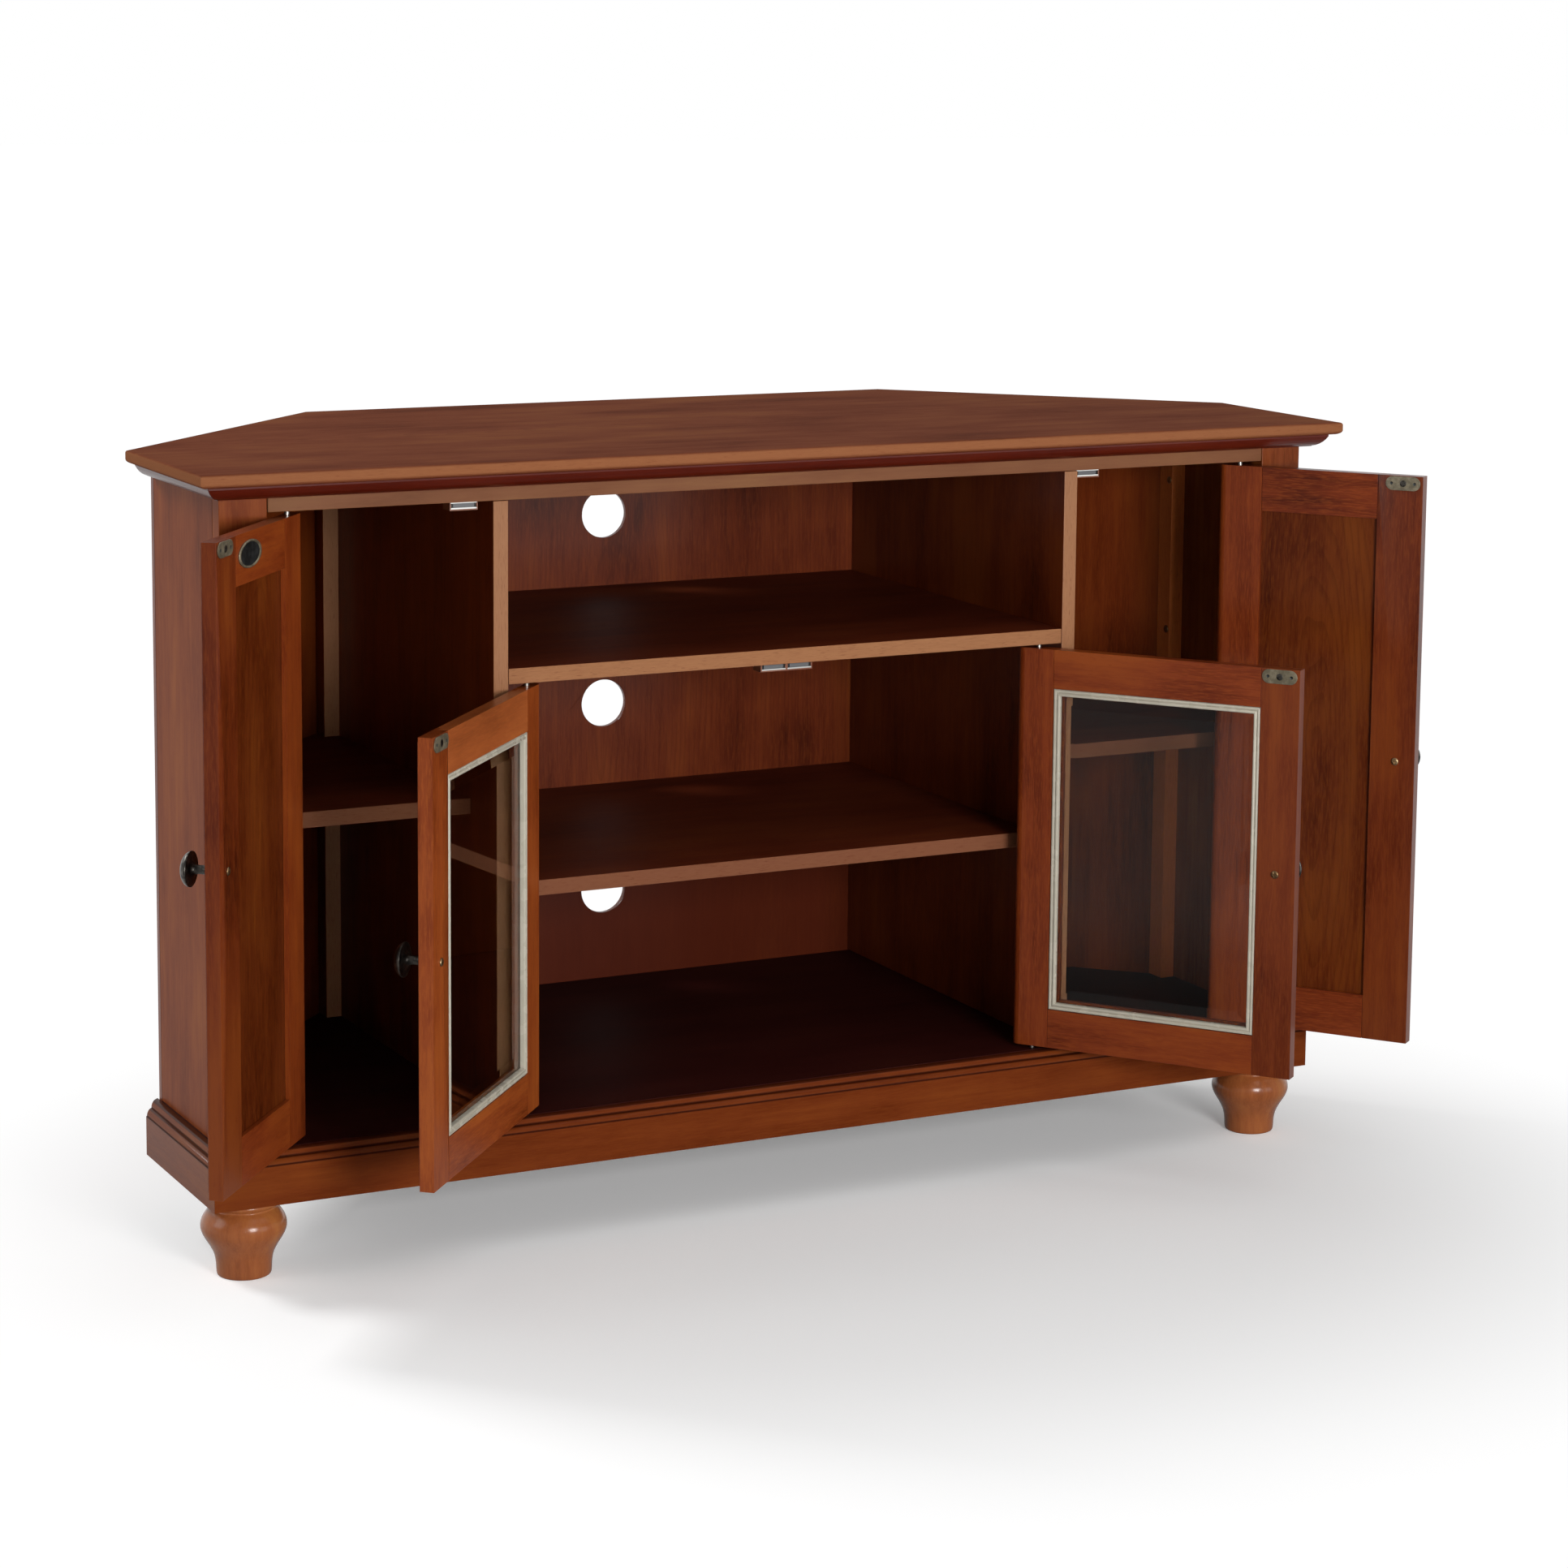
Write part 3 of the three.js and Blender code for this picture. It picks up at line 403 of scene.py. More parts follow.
def stain_patch(wood, limits, stain):
    """Another stain past all of some limits, each (axis, value, side)."""
    within = patch_strength + fibre_swing * wood.fibre
    for axis, limit, side in limits:
        within = within * beyond(wood, axis, limit, side)
    wood.cover(within, stain)


def stain_edge(wood, stain, all_round):
    """Another stain on the end that faces the front, or on a level board's edge all round."""
    facing = wood.node("ShaderNodeTexCoord", output="Normal")
    if all_round:
        edge = fade(abs(part_of(facing, "Z")), *rim_limits)
    else:
        edge = fade(part_of(facing, "Y") * -1, *front_limits)
    wood.cover(edge * (edge_strength + fibre_swing * wood.fibre), stain)


def paint_quirk_shade(wood, height):
    """A dark line at the height of a groove: painted shade in a bead's quirk, and a dark joint at
    the plinth's top.
    """
    off = abs(part_of(place_of(wood), "Z") - height)
    gathered = 1 - fade(off, quirk_core, quirk_reach)
    wood.cover(gathered * quirk_strength, quirk_shade_colour)


print("a quirk's line is", round(2000 * quirk_reach, 1), "mm wide")

# %% [markdown]
# ## Lacquer
#
# Clear lacquer lies over the stain. It could be a second shader mixed in, but the Principled
# shader has a coat for just this: a thin clear film with a gloss of its own. Pores show through
# it as fine dents, which a Bump node makes from the same noise that darkens them.

# %% The wood finish
pin_steel = tint(150, 146, 140)
ring_strength = 0.2
pore_strength = 0.45
pore_relief = {"Strength": 0.14, "Distance": 0.3 * MM}
fibre_height = 0.5  # against a pore's depth
grain_roughness = 0.1  # what tone and pores add to the gloss
lacquer_roughness = 0.22


def stained_wood(name, stain, along, seed, contrast, shine, gloss, edge=None, rim=None,
                 heart=None, patches=(), pins=(), quirks=()):
    """Lacquered wood of one stain. shine is the sheen under the lacquer and the lacquer's share,
    and gloss is the roughness under it. edge and rim are stains for the front ends and for the
    edge all round, and heart is where growth lines arch. patches are (limits, stain), some of them
    painted light or painted shade, pins are limits past which it is steel, and quirks are the
    heights of dark lines: painted shade in the beads' grooves and a dark joint."""
    wood = Wood(name, stain, along, seed, contrast)
    if heart:
        wood.cover(cathedral(wood, along, heart, seed) * ring_strength, wood.deep)
    for limits, other in patches:
        stain_patch(wood, limits, other)
    if edge:
        stain_edge(wood, edge, all_round=False)
    if rim:
        stain_edge(wood, rim, all_round=True)
    for height in quirks:
        paint_quirk_shade(wood, height)
    wood.cover(wood.pores * pore_strength, wood.dark)
    metal = 0.0
    for limit in pins:
        pin = beyond(wood, *limit)
        wood.cover(pin, pin_steel)
        metal = pin + metal
    relief = {**pore_relief, "Height": wood.fibre * fibre_height - wood.pores}
    return wood.surface(
        Base_Color=wood.colour, Metallic=metal,
        Roughness=gloss + wood.tone * grain_roughness + wood.pores * grain_roughness,
        Normal=wood.node("ShaderNodeBump", None, relief, "Normal"),
        Specular_IOR_Level=shine[0], Coat_Weight=shine[1], Coat_Roughness=lacquer_roughness,
    )


print("pores are dents of at most", pore_relief["Distance"], "m")

# %% [markdown]
# ## Which way each board's grain runs
#
# A joiner cuts a board so that its grain runs along its length: up a stile, across a rail. The
# doors stand open, so the grain of their rails turns with them. The frame says where each door's
# pivot is and how far the door is open, and from that come the door's own three directions.

# %% The doors' own directions
class Door:
    """A door's pivot and its own axes: along to its free edge, inward to its back, and up."""

    def __init__(self, body, joint):
        self.body = body
        swing = math.radians(-joint["range_deg"][0])  # the joint's lower limit is the shut door
        side = joint["axis"][2]
        self.pivot = Vector((*joint["pos_m"][:2], 0))
        self.along = Vector((-side * math.cos(swing), -math.sin(swing), 0))
        self.inward = Vector((-side * math.sin(swing), math.cos(swing), 0))
        self.up = Vector((0, 0, 1))

    def span(self, node):
        """The lowest and highest corner of a piece, in the door's own axes."""
        corners = [v.co - self.pivot for v in frame["nodes"][node].data.vertices]
        reach = [[p.dot(axis) for p in corners] for axis in (self.along, self.inward, self.up)]
        return Vector([min(r) for r in reach]), Vector([max(r) for r in reach])

    def place(self, x, y, z):
        return self.pivot + self.along * x + self.inward * y + self.up * z

    def spot(self, x, y, z, way=1):
        """Turns (across, up, out) round a spot on the door into a point of the scene. way is 1
        where out points inward, as on the door's back, and -1 where it points outward."""
        def point(across, up, out):
            return self.place(x + across, y + way * out, z + up)
        return point


doors = {}
for joint in frame["record"]["behaviour"]["joints"]:
    door = Door(joint["child"], joint)
    doors[joint["child"].removesuffix("_door")] = door
    print(joint["child"], "opens along", [round(v, 3) for v in door.along])

# %% Stain and grain direction of each board
ACROSS, DEEP, UPRIGHT = (1, 0, 0), (0, 1, 0), (0, 0, 1)
SIDES = ("left", "right")
kinds = [
    ("top_panel", "top", ACROSS), ("crown_front", "crown", ACROSS), ("crown_{}", "crown", DEEP),
    ("inner_top", "inner", ACROSS), ("top_rail", "rail", ACROSS), ("stile_{}", "case", UPRIGHT),
    ("side_panel_{}", "case", UPRIGHT), ("divider_{}", "inner", UPRIGHT),
    ("centre_shelf", "shelf", ACROSS), ("lower_shelf", "shelf", ACROSS),
    ("side_shelf_{}", "shelf", ACROSS), ("floor_panel", "floor", ACROSS),
    ("back_panel", "back", UPRIGHT), ("diagonal_back_{}", "inner", UPRIGHT),
    ("plinth_front", "plinth", ACROSS), ("plinth_{}", "plinth end", DEEP),
]
boards = {}
for pattern, stain, along in kinds:
    for side in SIDES:  # a pattern without a side gives the same name twice
        boards[pattern.format(side)] = (stain, along)
for name, door in doors.items():
    for part in ("hinge_stile", "free_stile", "bottom_rail", "top_rail", "panel"):
        node = f"{name}_{part}"
        if node in frame["nodes"]:
            # painted light and shade: a free stile gets a darker stain than the rest of its door
            stain = {"panel": "panel", "free_stile": "free stile"}.get(part, "door")
            # painted light on the left glass door, and a painted highlight on its top rail
            if name == "glass_left":
                stain = "left glass rail" if part == "top_rail" else "left glass"
            boards[node] = (stain, door.along if part.endswith("rail") else UPRIGHT)
print("boards:", len(boards))

# %% [markdown]
# ## Stains and sheens
#
# One can of stain dries to many shades, with the wood below it and the rubbing. One colour could
# serve the whole cabinet, but it would look cast in plastic. So each kind of board has its own
# shade, and a contrast and a sheen where these aren't the usual ones. Some shades are painted
# light and some painted shade: lighter on the left glass door and the far cleat, darker on the
# free stiles and on the back low down.

# %% The shades of the stain
stains = {
    "top": tint(120, 64, 42),
    "top rim": tint(136, 86, 56),
    "crown": tint(80, 22, 10),
    "case": tint(124, 60, 28),
    "plinth": tint(104, 46, 18),
    "plinth end": tint(112, 56, 26),
    # painted light and shade: hinge stiles and rails take the lit door stain, free stiles a darker
    # one
    "door": tint(115, 47, 17),
    "free stile": tint(99, 40, 14),
    # painted light: the left glass door is stained lighter, its top rail lighter still as a painted
    # highlight
    "left glass": tint(132, 60, 24),
    "left glass rail": tint(158, 84, 42),
    "panel": tint(87, 35, 10),
    "inner": tint(102, 41, 13),
    "back": tint(100, 40, 15),
    "shelf": tint(90, 36, 18),
    "floor": tint(48, 15, 12),
    "rail": tint(118, 76, 52),
    "edge": tint(148, 102, 70),
    "shaded edge": tint(118, 74, 52),
    "cleat": tint(140, 84, 40),
    # painted light: the cleat in the right bay stands in shade and gets a far paler stain
    "far cleat in painted light": tint(206, 112, 56),
    # painted shade: the back below the lower shelf gets a darker stain
    "low back in painted shade": tint(76, 26, 10),
    "foot": tint(146, 82, 44),
}
peg_shelves = ("lower_shelf", "side_shelf_left", "side_shelf_right")
pale_fronts = dict.fromkeys(("divider_left", "divider_right", "centre_shelf"), "edge")
pale_fronts.update(dict.fromkeys(peg_shelves, "shaded edge"))
print("shades of the stain:", len(stains))

# %% Contrast, shine and gloss
contrasts = {
    "case": 0.7, "rail": 0.4, "door": 0.95, "free stile": 0.95, "left glass": 0.95,
    "left glass rail": 0.5, "panel": 1.1, "inner": 0.85, "back": 0.85,
}
shines = {  # sheen under the lacquer, share of lacquer
    "top": (0.0, 0.03), "crown": (0.05, 0.35), "case": (0.0, 0.2), "rail": (0.05, 0.05),
    "inner": (0.1, 0.2), "back": (0.1, 0.4), "shelf": (0.03, 0.0), "floor": (0.03, 0.0),
    "plinth": (0.0, 0.1), "plinth end": (0.02, 0.18), "panel": (0.06, 0.14),
}
glosses = {"shelf": 0.5, "floor": 0.5}
usual_contrast, usual_shine, usual_gloss = 0.6, (0.1, 0.3), 0.3
print("most lacquer:", max(shines, key=lambda stain: shines[stain][1]))

# %% [markdown]
# ## Cleats, pins and quirks on their boards
#
# The cleats in the corners are one solid with their side panel, and the pivot and shelf pins are
# one with their stile or shelf. Limits part them: past a side's inner face it is cleat, and past a
# board's end it is steel. The plinth's quirks lie at known heights under its top edge.

# %% Limits on the boards
wall = 12.5 * MM  # just over a side's thickness
hair = 0.2 * MM
shelf_thickness = 15 * MM
# dark lines at these heights: the plinth's dark joint, and painted shade in the quirks of its two
# beads
quirk_drops = (0.5 * MM, 5.9 * MM, 11.7 * MM)  # below the plinth's top: its joint, its two beads

plinth_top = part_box("plinth_front")[1][2]
quirks = [plinth_top - drop for drop in quirk_drops]
inner_left = ("X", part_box("stile_left")[0][0] + wall, 1)
inner_right = ("X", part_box("stile_right")[1][0] - wall, -1)
inner_back = ("Y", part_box("back_panel")[0][1] + hair, -1)
low_down = ("Z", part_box("lower_shelf")[1][2], -1)
patches = {
    "side_panel_left": [([inner_left], stains["cleat"])],
    # painted light on the cleat in the right bay
    "side_panel_right": [([inner_right], stains["far cleat in painted light"])],
    # painted shade on the back below the lower shelf
    "back_panel": [([low_down, inner_back], stains["low back in painted shade"])],
}
pins = {}
for name, door in doors.items():
    low, high = door.span(f"{name}_free_stile")
    pins[f"{name}_hinge_stile"] = [("Z", low[2] - hair, -1), ("Z", high[2] + hair, 1)]
for shelf in peg_shelves:
    shelf_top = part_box(shelf)[1][2]
    pins[shelf] = [("Z", shelf_top - shelf_thickness - hair, -1)]
print("quirks at", [round(height, 4) for height in quirks])

# %% Stain the boards
seed_step = 1.7


def finish_node(node, material):
    frame["nodes"][node].data.materials.clear()
    frame["nodes"][node].data.materials.append(material)


for number, (node, (stain, along)) in enumerate(boards.items()):
    finish_node(node, stained_wood(
        f"{stain} wood {number}", stains[stain], along, number * seed_step,
        contrast=contrasts.get(stain, usual_contrast),
        shine=shines.get(stain, usual_shine),
        gloss=glosses.get(stain, usual_gloss),
        edge=stains[pale_fronts[node]] if node in pale_fronts else None,
        rim=stains["top rim"] if node == "top_panel" else None,
        heart=tuple(sum(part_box(node), Vector()) / 2) if node.endswith("panel") else None,
        patches=patches.get(node, ()),
        pins=pins.get(node, ()),
        quirks=quirks if stain.startswith("plinth") else (),
    ))
print("boards stained:", len(boards))

# %% [markdown]
# ## Soft edges
#
# No real board has a razor's edge: sanding and lacquer round it by a fraction of a millimetre, and
# that thin round catches the light all along a door. It could be cut into each solid. A Bevel
# modifier does it without touching the solid itself, and its width can be changed at any time. The
# solid's corners are first welded, because each face brings its own.

# %% Round the boards' edges
board_round = 0.7 * MM
weld_reach = 0.01 * MM
round_above = math.radians(40)  # flatter corners stay as they are


def soften(piece, width):
    bevel = piece.modifiers.new("soft edge", "BEVEL")
    bevel.width = width
    bevel.segments = 2
    bevel.limit_method = "ANGLE"
    return bevel


for node in boards:
    board = frame["nodes"][node]
    board.modifiers.new("weld", "WELD").merge_threshold = weld_reach
    soften(board, board_round).angle_limit = round_above
print("edges rounded by", board_round, "m on", len(boards), "boards")

# %% [markdown]
# ## Glass
#
# The panes are clear glass with a wide bevel, which bends what lies behind it. A see-through colour
# would render quicker but bends nothing, so this finish lets light through with the index of real
# glass. The two doors stand at different angles to the light, and each pane has its own tint and
# sheen for that.

# %% Clear glass
glass_index = 1.45
panes = {  # what the glass lets through, how white its mirror image is
    "left": (tint(226, 230, 226), 245),
    "right": (tint(238, 240, 236), 200),
}
for side, (clear, sheen) in panes.items():
    glass = Finish(f"{side} pane glass")
    finish_node(f"glass_{side}_pane", glass.surface(
        Base_Color=clear, Roughness=0.0, Transmission_Weight=1.0, IOR=glass_index,
        Specular_Tint=tint(sheen, sheen, sheen),
    ))
print("panes glazed:", len(panes))

# %% [markdown]
# ## Plastic and metal
#
# A strip of plastic holds each pane in its frame. It is milky, so a pale solid colour with a soft
# cloud stands for it, which renders quicker than true plastic. Knobs and strike plates are plated
# and then darkened. Noise says where the dark stays and where the metal is rubbed bright.

# %% The clear bead and aged metal
wear_noise, fine_noise = (140, 4, 0.65), (2400, 2)  # spots per metre, detail, roughness
wear_limits = (0.38, 0.66)
fine_roughness = 0.15
metal_relief = {"Strength": 0.2, "Distance": 0.08 * MM}


def clear_bead():
    finish = Finish("clear bead")
    cloud = noise(place_of(finish), seed=2, scale=60)
    colour = blend(cloud, tint(164, 157, 142), tint(188, 181, 165))
    return finish.surface(Base_Color=colour, Roughness=0.22 + cloud * 0.1, Coat_Weight=0.2)


def aged_metal(name, bright, dark, seed, rough=0.32, bare_share=1.0):
    """Plated metal, rubbed bright in places and dark in between, or partly dulled."""
    finish = Finish(name)
    place = place_of(finish)
    wear = noise(place, seed, *wear_noise)
    fine = noise(place, seed + 5, *fine_noise)
    colour = blend(fade(wear, *wear_limits), dark, bright)
    relief = {**metal_relief, "Height": fine + wear}
    return finish.surface(
        Base_Color=colour, Metallic=bare_share, Roughness=rough + fine * fine_roughness,
        Normal=finish.node("ShaderNodeBump", None, relief, "Normal"),
    )


bead = clear_bead()
pewter = aged_metal("dark pewter", tint(96, 92, 86), tint(44, 42, 40), 1)
nickel = aged_metal("antique nickel", tint(142, 132, 110), tint(104, 96, 78), 4, 0.36, 0.6)
steel = aged_metal("yellow zinc", tint(190, 160, 120), tint(120, 92, 62), 8, 0.3)
field = aged_metal("blackened field", tint(74, 76, 76), tint(46, 48, 48), 12, 0.5)
print("metals:", [metal.name for metal in (pewter, nickel, steel, field)])

# %% [markdown]
# ## Catches
#
# A magnetic catch is a small plastic case with a window in its front. In the window lie two steel
# plates with a magnet between them, and the plates' edges stand a little proud. Each could be a
# piece of its own, but they differ in depth by less than a millimetre and are one solid here. So
# the finish asks how far forward a spot lies: plates, case, magnet, window's depth.

# %% Finish the catches by depth
pole_proud = 0.4 * MM
magnet_setback = 0.5 * MM
window_depth = 1.6 * MM


def catch_finish(node):
    finish = Finish(f"{node} case")
    case_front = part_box(node)[0][1] + pole_proud
    cloud = noise(place_of(finish), seed=3, scale=300)
    case = blend(cloud, tint(104, 58, 36), tint(132, 78, 52))

    def layer(low, high):
        return beyond(finish, "Y", case_front + low, 1) * beyond(finish, "Y", case_front + high, -1)

    plate = beyond(finish, "Y", case_front - pole_proud / 2, -1)
    magnet = layer(magnet_setback - hair, magnet_setback + hair)
    hollow = layer(magnet_setback + hair, window_depth + hair)
    colour = blend(magnet, case, tint(88, 88, 90))
    colour = blend(hollow, colour, tint(22, 18, 16))
    colour = blend(plate, colour, tint(214, 214, 210))
    return finish.surface(Base_Color=colour, Metallic=plate, Roughness=0.42 - plate * 0.14)


catches = ("catch_left", "catch_centre", "catch_right")
for node in catches:
    finish_node(node, catch_finish(node))
print("catches finished:", len(catches))

# %% [markdown]
# ## Turned pieces
#
# Feet and knobs are turned on a lathe, so each is an outline spun about an axis. A Screw modifier
# can spin one about its object's axis, and the object is then turned into place. Here rings of
# points are laid right where they belong, also on a door that stands open, so the same lines serve
# feet, knobs, screws and badge. The few points of a foot's or a knob's outline are joined by a
# smooth curve first.

# %% A smooth outline
def smooth_outline(points, steps):
    """A Catmull-Rom curve through the points."""
    smooth = []
    for i in range(len(points) - 1):
        before = points[max(i - 1, 0)]
        start, end = points[i], points[i + 1]
        after = points[min(i + 2, len(points) - 1)]
        for k in range(steps):
            t = k / steps
            smooth.append(tuple(
                0.5 * (2 * b + (c - a) * t + (2 * a - 5 * b + 4 * c - d) * t ** 2
                       + (3 * b - a - 3 * c + d) * t ** 3)
                for a, b, c, d in zip(before, start, end, after)
            ))
    return smooth + [points[-1]]


print("a step of 1, halved smoothly:", smooth_outline([(0, 0), (0, 1), (1, 1)], 2))

# %% A solid through rings of points
def piece_from(name, shape):
    """Puts a finished shape into the scene."""
    mesh = bpy.data.meshes.new(name)
    shape.to_mesh(mesh)
    shape.free()
    piece = bpy.data.objects.new(name, mesh)
    scene.collection.objects.link(piece)
    return piece


def lofted(name, rings, around=False):
    """A solid through rings of points, closed by a face at each end or led around."""
    shape = bmesh.new()
    rings = [[shape.verts.new(point) for point in ring] for ring in rings]
    following = rings[1:] + (rings[:1] if around else [])
    for low, high in zip(rings, following):
        for k in range(len(low)):
            n = (k + 1) % len(low)
            shape.faces.new((low[k], low[n], high[n], high[k]))
    if not around:
        shape.faces.new(rings[0][::-1])
        shape.faces.new(rings[-1])
    bmesh.ops.recalc_face_normals(shape, faces=shape.faces)
    return piece_from(name, shape)


# %% Spin an outline
def fit(piece, body, *materials):
    """Finishes a piece and lets it ride on a body."""
    for material in materials:
        piece.data.materials.append(material)
    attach(piece, body)


def spun(name, outline, sides, point):
    """A closed solid of revolution. point turns (across, up, out) into a place in the scene."""
    turns = [2 * math.pi * k / sides for k in range(sides)]
    piece = lofted(name, [
        [point(radius * math.cos(a), radius * math.sin(a), out) for a in turns]
        for radius, out in outline
    ])
    for face in piece.data.polygons:
        face.use_smooth = len(face.vertices) == 4
    return piece


# %% [markdown]
# ## Feet
#
# Each foot is a bulb over a tapered ankle, with a thin collar above it and a sharp nick between
# them. A smooth curve would fill the nick, so bulb and collar are two curves. Both are written in
# shares of the solid's radius and height. A square block of wood joins the foot to the floor board.

# %% Outlines and blocks for the feet
foot_shares = [
    (0.59, 0), (0.635, 0.03), (0.655, 0.18), (0.7, 0.29), (0.79, 0.39), (0.91, 0.495),
    (0.98, 0.575), (1, 0.65), (0.965, 0.735), (0.87, 0.82), (0.78, 0.875),
]
collar_shares = [(0.77, 0.895), (0.825, 0.915), (0.85, 0.945), (0.825, 0.975), (0.78, 0.998)]
foot_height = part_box("plinth_front")[0][2] - floor_z
block_width = 46 * MM
block_round = 0.8 * MM


def foot_outline(radius):
    curve = smooth_outline(foot_shares, 5) + smooth_outline(collar_shares, 4)
    return [(r * radius, z * foot_height) for r, z in curve]


def block(name, low, high):
    """A block between two corners, with its edges rounded."""
    shape = bmesh.new()
    bmesh.ops.create_cube(shape, size=1)
    for vert in shape.verts:
        vert.co = Vector([a + (b - a) * (c + 0.5) for a, b, c in zip(low, high, vert.co)])
    bmesh.ops.bevel(shape, geom=shape.edges[:], offset=block_round, segments=2, affect="EDGES")
    return piece_from(name, shape)


print("points on a foot's outline:", len(foot_outline(1)))

# %% Turn the feet
foot_sides = 72
first_foot_seed = 40
half_block = block_width / 2
for number, corner in enumerate(("front_left", "front_right", "rear_left", "rear_right")):
    low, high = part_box(f"foot_{corner}")
    x, y = (low[0] + high[0]) / 2, (low[1] + high[1]) / 2
    radius = (high[0] - low[0]) / 2

    def standing(across, aside, up):
        return (x + across, y + aside, floor_z + up)

    wood = stained_wood(
        f"foot wood {number}", stains["foot"], UPRIGHT, first_foot_seed + number,
        contrast=0.55, shine=(0.2, 0.25), gloss=0.16,
    )
    foot = spun(f"turned_foot_{corner}", foot_outline(radius), foot_sides, standing)
    riser = block(
        f"foot_block_{corner}", (x - half_block, y - half_block, floor_z + foot_height),
        (x + half_block, y + half_block, high[2]),
    )
    fit(foot, "carcass", wood)
    fit(riser, "carcass", wood)
    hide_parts(f"foot_{corner}")
print("feet turned, radius", round(radius, 4))

# %% [markdown]
# ## Carving
#
# Screw heads have a cross-shaped recess and strike plates have dimples. A bump could fake both,
# but only from afar, and it leaves the mesh without them. A Boolean modifier takes them out for
# real, as a punch does. Its result is kept and the cutter thrown away.

# %% Prisms and cutting
def prism(name, outline, low, high, point):
    """A closed prism on an outline, between two heights."""
    return lofted(name, [[point(x, y, out) for x, y in outline] for out in (low, high)])


def carve(piece, cutter):
    """Cuts one piece out of another for good."""
    cut = piece.modifiers.new("cut", "BOOLEAN")
    cut.operation = "DIFFERENCE"
    cut.solver = "EXACT"
    cut.object = cutter
    shown = piece.evaluated_get(bpy.context.evaluated_depsgraph_get())
    finished = bpy.data.meshes.new_from_object(shown)
    piece.modifiers.clear()
    piece.data = finished
    bpy.data.objects.remove(cutter)


# %% Screw heads
head_shares = [(0.9, 0), (1, 0.2), (0.93, 0.55), (0.7, 0.85), (0.35, 0.98), (0.05, 1)]
head_sides = 40
recess_reach, recess_arm = 0.55, 0.13  # of the head's radius
recess_floor, recess_top = 0.35, 1.5  # of its height, so the cutter stands out of it


def cross_outline(reach, arm):
    """The twelve corners of a cross recess, three to a quarter turn."""
    corners = [(arm, arm), (arm, reach), (-arm, reach)]
    for _ in range(3):
        corners += [(-y, x) for x, y in corners[-3:]]
    return corners


def screw_head(name, radius, height, point, material, body):
    head = spun(name, [(r * radius, z * height) for r, z in head_shares], head_sides, point)
    cross = cross_outline(radius * recess_reach, radius * recess_arm)
    carve(head, prism("recess", cross, height * recess_floor, height * recess_top, point))
    fit(head, body, material)


print("a head of 4 mm radius has a cross", 8 * recess_reach, "mm wide")

# %% [markdown]
# ## Knobs and their screws
#
# A knob is a turned mushroom: a flared foot, a thin neck and a domed cap with a rolled rim. It is
# held by a screw through the door, whose head shows on the back of the open doors. The frame's
# solid has knob and screw in one, so the new knob takes its place and width from the solid, with
# its crown at the solid's front end, and the screw head sits at its back end. Its length is given.

# %% Turn the knobs
knob_shares = [
    (0.42, 0), (0.4, 0.03), (0.31, 0.1), (0.26, 0.22), (0.25, 0.4), (0.31, 0.54), (0.5, 0.62),
    (0.86, 0.645), (0.98, 0.665), (1, 0.695), (0.97, 0.75), (0.86, 0.84), (0.64, 0.925),
    (0.34, 0.98), (0.04, 1),
]
knob_sides = 64
knob_length = 27 * MM
screw_radius = 4 * MM
screw_height = 1.6 * MM
for name, door in doors.items():
    low, high = door.span(f"{name}_knob")
    x, z = (low[0] + high[0]) / 2, (low[2] + high[2]) / 2
    radius = (high[2] - low[2]) / 2
    outline = [(r * radius, h * knob_length) for r, h in smooth_outline(knob_shares, 4)]
    on_front = door.spot(x, low[1] + knob_length, z, -1)
    knob = spun(f"{name}_turned_knob", outline, knob_sides, on_front)
    fit(knob, door.body, pewter)
    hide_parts(f"{name}_knob")
    on_back = door.spot(x, high[1] - screw_height, z)
    screw_head(f"{name}_knob_screw", screw_radius, screw_height, on_back, steel, door.body)
print("knobs fitted:", len(doors), "with a radius of", round(radius, 4))

# %% [markdown]
# ## Strike plates
#
# Each catch pulls on a stamped steel plate with round ends, screwed to the back of its door at the
# middle and dimpled on both sides, where a second screw could go. A plate could be a texture on
# the door, but its thickness shows as a bright line, so it is a thin prism. The faces that lie
# inside the dimples get a second, dark material.

# %% The plate and its dimples
plate_thickness = 1 * MM
plate_round = 0.3 * MM
dimple_place = 12 * MM  # to either side of the plate's middle
dimple_radius = 1.7 * MM
dimple_sides = 24
dimple_shares = [(0.4, 0.3), (1, 1.1)]  # of the dimple's radius and the plate's thickness


def stadium(half_length, half_width, steps=10):
    """The outline of a plate with round ends."""
    straight = half_length - half_width
    points = []
    for side, start in ((1, -90), (-1, 90)):
        for k in range(steps + 1):
            angle = math.radians(start + 180 * k / steps)
            x = side * straight + half_width * math.cos(angle)
            points.append((x, half_width * math.sin(angle)))
    return points


def darken_dimples(plate, middle, along):
    """Gives the faces inside the dimples the plate's second material."""
    for face in plate.data.polygons:
        spot = Vector(face.center) - middle
        off_dimple = math.hypot(abs(spot.dot(along)) - dimple_place, spot[2])
        if off_dimple < dimple_radius:
            face.material_index = 1


print("a plate's outline has", len(stadium(2, 1)), "points")

